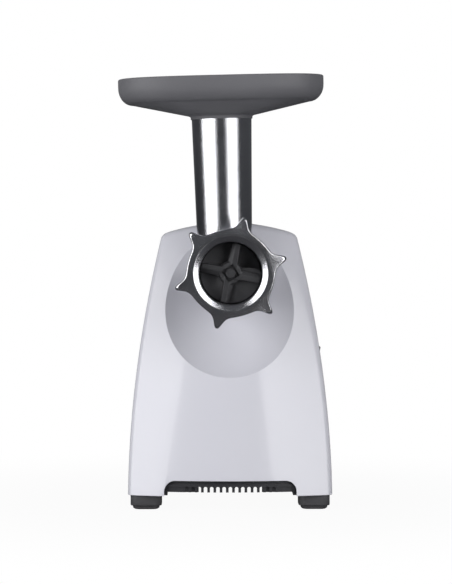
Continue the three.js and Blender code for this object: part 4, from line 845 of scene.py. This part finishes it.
def between(low, high, steps):
    """Rings spaced evenly between two others."""
    rings = []
    for k in range(1, steps):
        share = k / steps
        rings.append([tuple(p + (q - p) * share for p, q in zip(a, b)) for a, b in zip(low, high)])
    return rings


def make_tray():
    """One closed section: collar, outside, rim, inside, throat and spigot."""
    rings = [oval(28.0, 28.0, 2, COLLAR_FOOT_Z), oval(28.4, 28.4, 2, 140.5)]
    rings += [oval(28.4, 28.4, 2, 141.8), oval(28.9, 28.8, 2, 142.7), oval(30.2, 29.8, 2.02, 143.3)]
    slope = oval(32.4, 31.4, 2.1, 143.8)
    rings.append(slope)

    def around(pull, z):
        return oval(TRAY_HALF_LENGTH - pull, TRAY_HALF_DEPTH - pull, TRAY_CORNERS, z)

    def corner(pull_in, lift, height, thick):
        made = []
        for k in range(9):
            angle = rad(90 * k / 8)
            pull = pull_in * (1 - math.sin(angle)) + thick
            made.append(around(pull, TRAY_FOOT_Z + lift + height * (1 - math.cos(angle))))
        return made

    half_wall = TRAY_WALL / 2
    brim = TRAY_RIM_Z - half_wall
    outside = corner(TRAY_EDGE, 0.4, 14.4, 0)
    rings += between(slope, outside[0], 10) + outside
    rings += [around(0, TRAY_FOOT_Z + 18), around(0, brim)]
    for k in range(1, 8):
        angle = rad(180 * k / 8)
        rings.append(around(half_wall * (1 - math.cos(angle)), brim + half_wall * math.sin(angle)))
    rings.append(around(TRAY_WALL, brim))
    inside = corner(TRAY_EDGE - TRAY_WALL, 3.4, 11.4, TRAY_WALL)[::-1]
    inner_foot = oval(27.1, 27.1, 2.1, 147.6)
    rings += inside + between(inside[-1], inner_foot, 10) + [inner_foot]
    rings += [oval(24.6, 24.6, 2.03, 146.6), oval(23.4, 23.4, 2, 145.2), oval(23.1, 23.1, 2, 143)]
    rings += [oval(23.1, 23.1, 2, SPIGOT_FOOT_Z), oval(23.7, 23.7, 2, SPIGOT_FOOT_Z)]
    rings += [oval(24.9, 24.9, 2, 143), oval(24.9, 24.9, 2, 145.8), oval(27.9, 27.9, 2, 145.8)]
    rings.append(oval(27.9, 27.9, 2, COLLAR_FOOT_Z))
    rings.append(rings[0])
    piece("hopper_tray_moulding", skin(rings, closed=True), "hopper", "tray_plastic",
          ("hopper_tray",), place=HEAD, sharp=35)


# ---------------------------------------------------------------- grinder head and ring
def sector(inner, outer, start, end, steps=24):
    """Part of a flat ring, from one angle in degrees to another."""
    angles = [rad(start + (end - start) * i / steps) for i in range(steps + 1)]
    points = [(outer * math.cos(a), outer * math.sin(a)) for a in angles]
    return points + [(inner * math.cos(a), inner * math.sin(a)) for a in angles[::-1]]


def make_head():
    """Barrel and feed tube in one casting, with the bayonet's spigot and its two tongues."""
    mouth = RING_FRONT_Y + MOUTH_SETBACK
    back = RING_FRONT_Y + RING_DEPTH
    spigot = SOCKET_BORE - 0.5
    barrel = lathe([
        (0, mouth), (BARREL_RADIUS - 0.3, mouth), (BARREL_RADIUS, mouth + 0.4),
        (BARREL_RADIUS, back - 1), (SOCKET_BORE, back + 1), (SOCKET_BORE, SOCKET_FRONT_Y - 4),
        (spigot, SOCKET_FRONT_Y - 2), (spigot, SPIGOT_END_Y - 0.5), (spigot - 0.5, SPIGOT_END_Y),
        (0, SPIGOT_END_Y),
    ])
    tube = rod((TUBE_X, 0), TUBE_FOOT_RADIUS, 0, TUBE_TOP, "Z", TUBE_TOP_RADIUS, 160)
    bore = rod((0, 0), BARREL_BORE, mouth - 1, 30, steps=128)
    tube_bore = rod((TUBE_X, 0), TUBE_FOOT_RADIUS - TUBE_WALL, 0, TUBE_TOP + 1, "Z",
                    TUBE_TOP_RADIUS - TUBE_WALL, 128)
    seat = rod((0, 0), 31.2, mouth - 1, KNIFE_FRONT_Y, steps=128)
    bush = rod((0, 0), 12.3, 29, SPIGOT_END_Y - 4, steps=48)
    coupling = rod((0, 0), 15, COUPLING_Y - 2, SPIGOT_END_Y + 1, steps=64)
    tooth = 90 - HEAD_LEAN
    latch = prism(sector(23, 33, tooth - 8.5, tooth + 38.5), SPIGOT_END_Y - 4.5, SPIGOT_END_Y + 1)
    head = cut(join(barrel, tube), bore, tube_bore, seat, bush, coupling, latch)
    for turn in (0, 180):
        head = join(head, prism(sector(29, 35.4, turn - 14, turn + 14), 38, 42.5))
    piece("grinder_head_casting", head, "head", "polished_aluminium", ("grinder_head",),
          place=HEAD)


def make_ring():
    """The bevelled mouth, the flat face, six pointed lugs and the plain back."""
    body, lug = RING_RADIUS, LUG_REACH
    lug_every = 360 / LUG_COUNT
    back = RING_FRONT_Y + RING_DEPTH
    first_lug = LUG_ANGLE - HEAD_LEAN
    count = 720
    reach = []
    for i in range(count):
        away = abs((360 * i / count - first_lug + lug_every / 2) % lug_every - lug_every / 2)
        reach.append(lug / (1 + (away / LUG_SPREAD) ** LUG_FALL))

    def loop(radius_of, y_of):
        points = []
        for i, extra in enumerate(reach):
            a = rad(360 * i / count)
            r = radius_of(extra)
            points.append((r * math.cos(a), y_of(extra), r * math.sin(a)))
        return points

    def plain(r, y):
        return loop(lambda extra: r, lambda extra: y)

    rings = [plain(RING_BORE, -66), plain(RING_BORE, -68.8)]
    rings += [plain(28.35, -69.4), plain(28.8, -69.85)]
    rings += [plain(29.6, -70.25), plain(31.2, -71), plain(32.8, -71.75), plain(33.3, -71.95)]
    rings += [plain(33.8, RING_FRONT_Y), plain(35, RING_FRONT_Y), plain(36.6, RING_FRONT_Y)]
    for edge in (1, 0.8, 0.6, 0.42, 0.28, 0.17, 0.08, 0.02, 0):
        rise = 1 - math.sqrt(1 - (1 - edge) ** 2)

        def radius_of(extra):
            return body + extra - edge * (1.1 + 2.4 * extra / lug)

        def height_of(extra):
            return RING_FRONT_Y + (1.3 + 2 * extra / lug) * rise + 1.4 * extra / lug

        rings.append(loop(radius_of, height_of))
    rings.append(loop(lambda extra: body + extra, lambda extra: -60))
    rings.append(loop(lambda extra: body + extra, lambda extra: -53.4))
    for share, y in ((0.97, -52.7), (0.9, -52.2), (0.5, -52), (0.15, -51.8), (0, -51)):
        rings.append(loop(lambda extra: body + extra * share, lambda extra: y))
    rings += [plain(body, back - 1.4), plain(body - 0.3, back - 0.5), plain(body - 1, back)]
    rings += [plain(33.6, back), plain(33.6, -66), rings[0]]
    piece("ring_nut_casting", skin(rings, closed=True), "ring_nut", "polished_aluminium",
          ("ring_nut",), place=HEAD, sharp=38)


# ---------------------------------------------------------------- knife and feed screw
def square_turn():
    return Matrix.Rotation(rad(45 + KNIFE_TURN), 4, "Y")


def make_knife():
    """Four arms with one sloped side each, widening to a hub with a square hole."""
    back = KNIFE_FRONT_Y + KNIFE_DEPTH
    section = [(-4.2, back), (4.2, back), (3.6, KNIFE_FRONT_Y), (-0.8, KNIFE_FRONT_Y),
               (-4.2, KNIFE_FRONT_Y + 2.6)]
    knife = rod((0, 0), KNIFE_HUB, KNIFE_FRONT_Y + 0.5, back, steps=64)
    for i in range(4):
        arm = prism(section, 0, 30, "Z")
        for vert in arm.verts:
            vert.co.x *= 1.32 - 0.4 * vert.co.z / 30
        arm.transform(Matrix.Rotation(rad(90 * i + KNIFE_TURN), 4, "Y"))
        knife = join(knife, arm)
    sweep = rod((0, 0), KNIFE_RADIUS, KNIFE_FRONT_Y - 1, back + 1, steps=128)
    knife = cast(combine(knife, sweep, "INTERSECT"), 0.4, 12)
    half = KNIFE_HOLE_HALF
    hole = block(-half, half, KNIFE_FRONT_Y - 2, back + 2, -half, half)
    hole.transform(square_turn())
    piece("knife_casting", cut(knife, hole), "knife", "cast_grey", ("cutting_knife",),
          place=BARREL)


def make_auger():
    """A twisted section for the thread, with shank and pin in front and a hexagon behind."""
    start = KNIFE_FRONT_Y + KNIFE_DEPTH + GAP
    end = THREAD_END_Y
    turns = (end - start) / THREAD_PITCH
    count = 240
    around = 90
    crest, fall_angle, rise_angle = 46, 30, 28

    def radius(angle):
        if angle <= crest:
            return KNIFE_RADIUS
        fall = min(1, (angle - crest) / fall_angle)
        rise = max(0, (angle - 360 + rise_angle) / rise_angle)
        share = max(0.5 + 0.5 * math.cos(math.pi * fall), rise * rise * (3 - 2 * rise))
        return THREAD_CORE + (KNIFE_RADIUS - THREAD_CORE) * share

    rings = []
    for k in range(count + 1):
        twist = 360 * turns * k / count
        y = start + (end - start) * k / count
        points = []
        for i in range(around):
            a = rad(360 * i / around + twist)
            r = radius(360 * i / around)
            points.append((r * math.cos(a), y, -r * math.sin(a)))
        rings.append(points)
    half = SHANK_HALF
    shank = block(-half, half, KNIFE_FRONT_Y + 3.6, start + 1, -half, half)
    shank.transform(square_turn())
    tip, foot = KNIFE_FRONT_Y - 0.6, start + 2
    pin = lathe([
        (0, tip), (PIN_RADIUS - 0.5, tip), (PIN_RADIUS, tip + 0.5), (PIN_RADIUS, foot), (0, foot),
    ], 64)
    corner = HEXAGON_ACROSS / math.sqrt(3)
    hexagon = [(corner * math.cos(rad(60 * i)), corner * math.sin(rad(60 * i))) for i in range(6)]
    tail = prism(hexagon, COUPLING_Y - 1.4, COUPLING_Y + 8.2)
    auger = join(skin(rings), pin, shank, rod((0, 0), 8, end - 1, COUPLING_Y - 1, steps=64), tail)
    piece("feed_screw_casting", auger, "auger", "cast_grey", ("auger",), place=BARREL, sharp=45)


# ---------------------------------------------------------------- socket and release button
def make_socket():
    """The collar in the housing, its bayonet groove and the two ways in for the tongues."""
    groove_end = SOCKET_GROOVE_Y + SOCKET_GROOVE_WIDTH
    outer, groove, bore = SOCKET_RADIUS, SOCKET_GROOVE_RADIUS, SOCKET_BORE
    collar = lathe([
        (bore + 0.1, SOCKET_FRONT_Y), (outer - 1, SOCKET_FRONT_Y),
        (outer - 0.3, SOCKET_FRONT_Y + 0.3), (outer, SOCKET_FRONT_Y + 1),
        (outer, groove_end + 1), (outer - 4, groove_end + 3),
        (outer - 4, SOCKET_BACK_Y), (16, SOCKET_BACK_Y), (16, SOCKET_FLOOR_Y),
        (bore, SOCKET_FLOOR_Y), (bore, groove_end), (groove, groove_end),
        (groove, SOCKET_GROOVE_Y), (bore, SOCKET_GROOVE_Y), (bore, SOCKET_FRONT_Y + 0.4),
    ], 144)
    for turn in (0, 180):
        middle = turn - 30 + HEAD_LEAN
        collar = cut(collar, prism(
            sector(bore - 2, groove, middle - 15.5, middle + 15.5), SOCKET_FRONT_Y - 1,
            SOCKET_GROOVE_Y + 1,
        ))
    collar = cut(collar, block(-5.4, 5.4, SOCKET_FLOOR_Y - 1, SOCKET_BACK_Y - 1.2, 18, 40))
    piece("head_socket_collar", collar, "housing", "dark_plastic", ("head_socket",), place=BARREL)


def make_release():
    """A dished cap on a plate that ends in the latch's tooth."""
    top = crown_z(0, RELEASE_Y) + 0.8
    foot = BARREL_Z + SOCKET_RADIUS + 3.3
    cap = lathe([
        (0, foot), (RELEASE_RADIUS, foot), (8.2, top - 0.9), (7.9, top - 0.3), (7.2, top),
        (6.4, top - 0.1), (4, top - 0.55), (0, top - 0.8),
    ], 96, "Z", (0, RELEASE_Y, 0))
    plate = block(-5, 5, RELEASE_Y - 1.3, RELEASE_Y + 0.9, BARREL_Z + 22, foot + 1)
    tooth = block(-2.4, 2.4, SPIGOT_END_Y - 3.4, RELEASE_Y, BARREL_Z + 27.4, BARREL_Z + 30.4)
    piece("release_cap", join(cap, plate, tooth), "release_button", "dark_plastic",
          ("release_button",))


# ---------------------------------------------------------------- switch panel and gland
def make_panel():
    """The frame in the side wall, its rocker with a ring and a bar marked in it, and its button."""
    flange = panel_plate(PANEL_WIDTH, PANEL_HEIGHT, 8, GAP, 1.4)
    flange = soften(flange, 0.6, lambda edge: all(v.co.x > 1.3 for v in edge.verts))
    bezel = join(flange, panel_plate(PANEL_WIDTH - 5.6, PANEL_HEIGHT - 5.6, 6, -9, 1))
    room = (2 * ROCKER_HALF_WIDTH + 1.6, 2 * ROCKER_HALF_LENGTH + 2.2)
    bezel = cut(
        bezel, panel_plate(*room, 1.5, -20, 10, ROCKER_Z),
        rod((0, BUTTON_Z), BUTTON_RADIUS + GAP, -20, 10, "X", steps=64),
    )
    piece("switch_frame", bezel, "housing", "dark_plastic", ("switch_bezel",), place=TO_PANEL)

    half, length = ROCKER_HALF_LENGTH, 2 * ROCKER_HALF_LENGTH
    low, high, dish = 2.2, 4.6, 2.1
    outline = [(half, high), (14, -4), (3, -6.5), (-3, -6.5), (-13.8, -5), (-half, low)]
    for k in range(1, 16):
        h = -half + length * k / 16
        lift = low + (high - low) * (h + half) / length
        outline.append((h, lift - dish * math.cos(math.pi * h / length)))
    rocker = prism([(y, z) for z, y in outline], -ROCKER_HALF_WIDTH, ROCKER_HALF_WIDTH)
    rocker.transform(Matrix.Translation((0, 0, ROCKER_Z)))
    rocker = soften(rocker, 0.5, lambda edge: all(v.co.x > 0 for v in edge.verts))
    ring = cut(rod((0, 20), 2.6, 1.2, 4, "X", steps=40), rod((0, 20), 1.9, 0, 5, "X", steps=40))
    bar = block(0.9, 4, -0.4, 0.4, 3.6, 8.4)
    rocker = cut(rocker, combine(ring, block(2.45, 9, -9, 9, 0, 30), "INTERSECT"))
    rocker = cut(rocker, combine(bar, block(0.65, 9, -9, 9, 0, 30), "INTERSECT"))
    piece("switch_rocker_key", rocker, "switch_rocker", "dark_plastic", ("switch_rocker",),
          place=TO_PANEL)

    button = lathe([
        (0, -11), (3, -11), (3, -5), (BUTTON_RADIUS, -5), (BUTTON_RADIUS, 2.9), (7.6, 3.45),
        (7, 3.6), (4, 3.3), (0, 3.1),
    ], 80, "Z")
    button.transform(Matrix.Translation((0, 0, BUTTON_Z)) @ Matrix.Rotation(rad(90), 4, "Y"))
    piece("reverse_button_key", button, "reverse_button", "dark_plastic", ("reverse_button",),
          place=TO_PANEL)


def make_gland():
    """A sleeve through the rear wall, with a collar on each side of it."""
    x, z = GLAND
    body, collar, hole = GLAND_RADIUS, GLAND_COLLAR, CORD_HOLE
    # radius, and how far it stands out of the wall
    profile = [
        (hole, -14), (body, -14), (body, -8.5), (collar, -8.5), (collar, -6), (body, -6),
        (body, 1.8), (collar - 0.3, 1.8), (collar, 2.1), (collar, 3.2), (collar - 0.4, 3.6),
        (body, 3.6), (body - 0.2, 5.4), (body - 0.8, 6), (hole + 0.6, 6), (hole, 5.4),
    ]
    wall_y = rear_y(z) - fall_back(REAR_BOW, x)
    piece("cord_gland_boot", lathe(profile, 80, "Y", (x, wall_y, z)), "housing", "dark_plastic",
          ("cord_gland",))


for make in (
    make_shells, make_base, make_feet, make_screws, make_tray, make_head, make_ring, make_knife,
    make_auger, make_socket, make_release, make_panel, make_gland,
):
    make()

# the sealed parts keep their own meshes and get the finish of their slot
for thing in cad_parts.values():
    slot = thing.data.materials[0].name.split(".")[0]
    thing.data.materials.clear()
    thing.data.materials.append(FINISHES[slot])

# ---------------------------------------------------------------- stage, light and camera
TARGET = Vector((0.0010, -0.0475, 0.1967))



def join_nodes(links, *pairs):
    for output, socket in pairs:
        links.new(output, socket)


def make_floor():
    """A pale ground that the camera sees as white, with a painted dark reflection: its colour turns
    dark for the glossy rays where the metal mirrors it.
    """
    mesh = bpy.data.meshes.new("floor")
    plane = bmesh.new()
    bmesh.ops.create_grid(plane, x_segments=1, y_segments=1, size=12)
    plane.to_mesh(mesh)
    plane.free()
    floor = bpy.data.objects.new("floor", mesh)
    scene.collection.objects.link(floor)
    pale = bpy.data.materials.new("pale_floor")
    pale.use_nodes = True
    mesh.materials.append(pale)
    nodes, links = pale.node_tree.nodes, pale.node_tree.links
    ground = nodes["Principled BSDF"]
    ground.inputs["Roughness"].default_value = 0.9
    seen = nodes.new("ShaderNodeLightPath")
    # painted shade in reflections: the base colour is 0.42 for other rays and 0.05 for glossy rays,
    # so the metal mirrors a dark floor
    painted_reflection_shade = nodes.new("ShaderNodeMix")
    painted_reflection_shade.data_type = "RGBA"
    painted_reflection_shade.inputs[6].default_value = (0.42, 0.42, 0.43, 1)
    painted_reflection_shade.inputs[7].default_value = (0.05, 0.05, 0.055, 1)
    glow = nodes.new("ShaderNodeEmission")
    glow.inputs["Strength"].default_value = 1.0
    spot = nodes.new("ShaderNodeTexCoord")
    away = nodes.new("ShaderNodeVectorMath")
    away.operation = "LENGTH"
    fade = nodes.new("ShaderNodeMapRange")
    fade.interpolation_type = "SMOOTHSTEP"
    fade.inputs["From Min"].default_value = 0.1
    fade.inputs["From Max"].default_value = 0.5
    fade.inputs["To Min"].default_value = 0.95
    fade.inputs["To Max"].default_value = 1.0
    share = nodes.new("ShaderNodeMath")
    share.operation = "MULTIPLY"
    mix = nodes.new("ShaderNodeMixShader")
    join_nodes(
        links,
        (seen.outputs["Is Glossy Ray"], painted_reflection_shade.inputs["Factor"]),
        (painted_reflection_shade.outputs[2], ground.inputs["Base Color"]),
        (spot.outputs["Object"], away.inputs[0]), (away.outputs["Value"], fade.inputs["Value"]),
        (seen.outputs["Is Camera Ray"], share.inputs[0]), (fade.outputs["Result"], share.inputs[1]),
        (share.outputs[0], mix.inputs[0]), (ground.outputs[0], mix.inputs[1]),
        (glow.outputs[0], mix.inputs[2]), (mix.outputs[0], nodes["Material Output"].inputs[0]),
    )


def make_room():
    """A dim room with a white backdrop for the camera."""
    world = bpy.data.worlds.new("studio")
    world.use_nodes = True
    scene.world = world
    nodes, links = world.node_tree.nodes, world.node_tree.links
    room = nodes["Background"]
    room.inputs["Color"].default_value = (0.9, 0.93, 1.0, 1)
    room.inputs["Strength"].default_value = 0.085
    backdrop = nodes.new("ShaderNodeBackground")
    backdrop.inputs["Color"].default_value = (1, 1, 1, 1)
    seen = nodes.new("ShaderNodeLightPath")
    mix = nodes.new("ShaderNodeMixShader")
    join_nodes(
        links,
        (seen.outputs["Is Camera Ray"], mix.inputs[0]), (room.outputs[0], mix.inputs[1]),
        (backdrop.outputs[0], mix.inputs[2]), (mix.outputs[0], nodes["World Output"].inputs[0]),
    )


def softbox(name, azimuth, elevation, distance, width, height, power, reflected=True):
    """A lamp facing the target; azimuth in degrees from the front, positive to the right."""
    data = bpy.data.lights.new(name, "AREA")
    data.shape = "RECTANGLE"
    data.size = width
    data.size_y = height
    data.energy = power
    lamp = bpy.data.objects.new(name, data)
    scene.collection.objects.link(lamp)
    flat = math.cos(rad(elevation))
    away = Vector((
        flat * math.sin(rad(azimuth)), -flat * math.cos(rad(azimuth)), math.sin(rad(elevation)),
    ))
    lamp.location = TARGET + away * distance
    lamp.rotation_euler = away.to_track_quat("Z", "Y").to_euler()
    lamp.visible_camera = False
    lamp.visible_glossy = reflected


def make_camera():
    lens = bpy.data.cameras.new("camera")
    lens.lens = 147.39
    lens.sensor_width = 36
    lens.clip_end = 50
    camera = bpy.data.objects.new("camera", lens)
    scene.collection.objects.link(camera)
    camera.location = (-0.0239, -2.2475, 0.2676)
    camera.rotation_euler = (TARGET - camera.location).to_track_quat("-Z", "Y").to_euler()
    scene.camera = camera
    scene.view_settings.view_transform = "Standard"


make_floor()
make_room()
softbox("softbox_left", -54, 6, 1.5, 1.45, 1.9, 25)
softbox("softbox_right", 39, 6, 1.5, 1.05, 1.9, 17.5)
softbox("overhead", 0, 80, 1.6, 1.6, 1.2, 3, False)
softbox("front_fill", 0, -12, 1.8, 1.2, 0.8, 6.5, False)
softbox("rear_left", -140, 20, 1.8, 1.0, 1.4, 8, False)
softbox("rear_right", 140, 20, 1.8, 1.0, 1.4, 8, False)
make_camera()
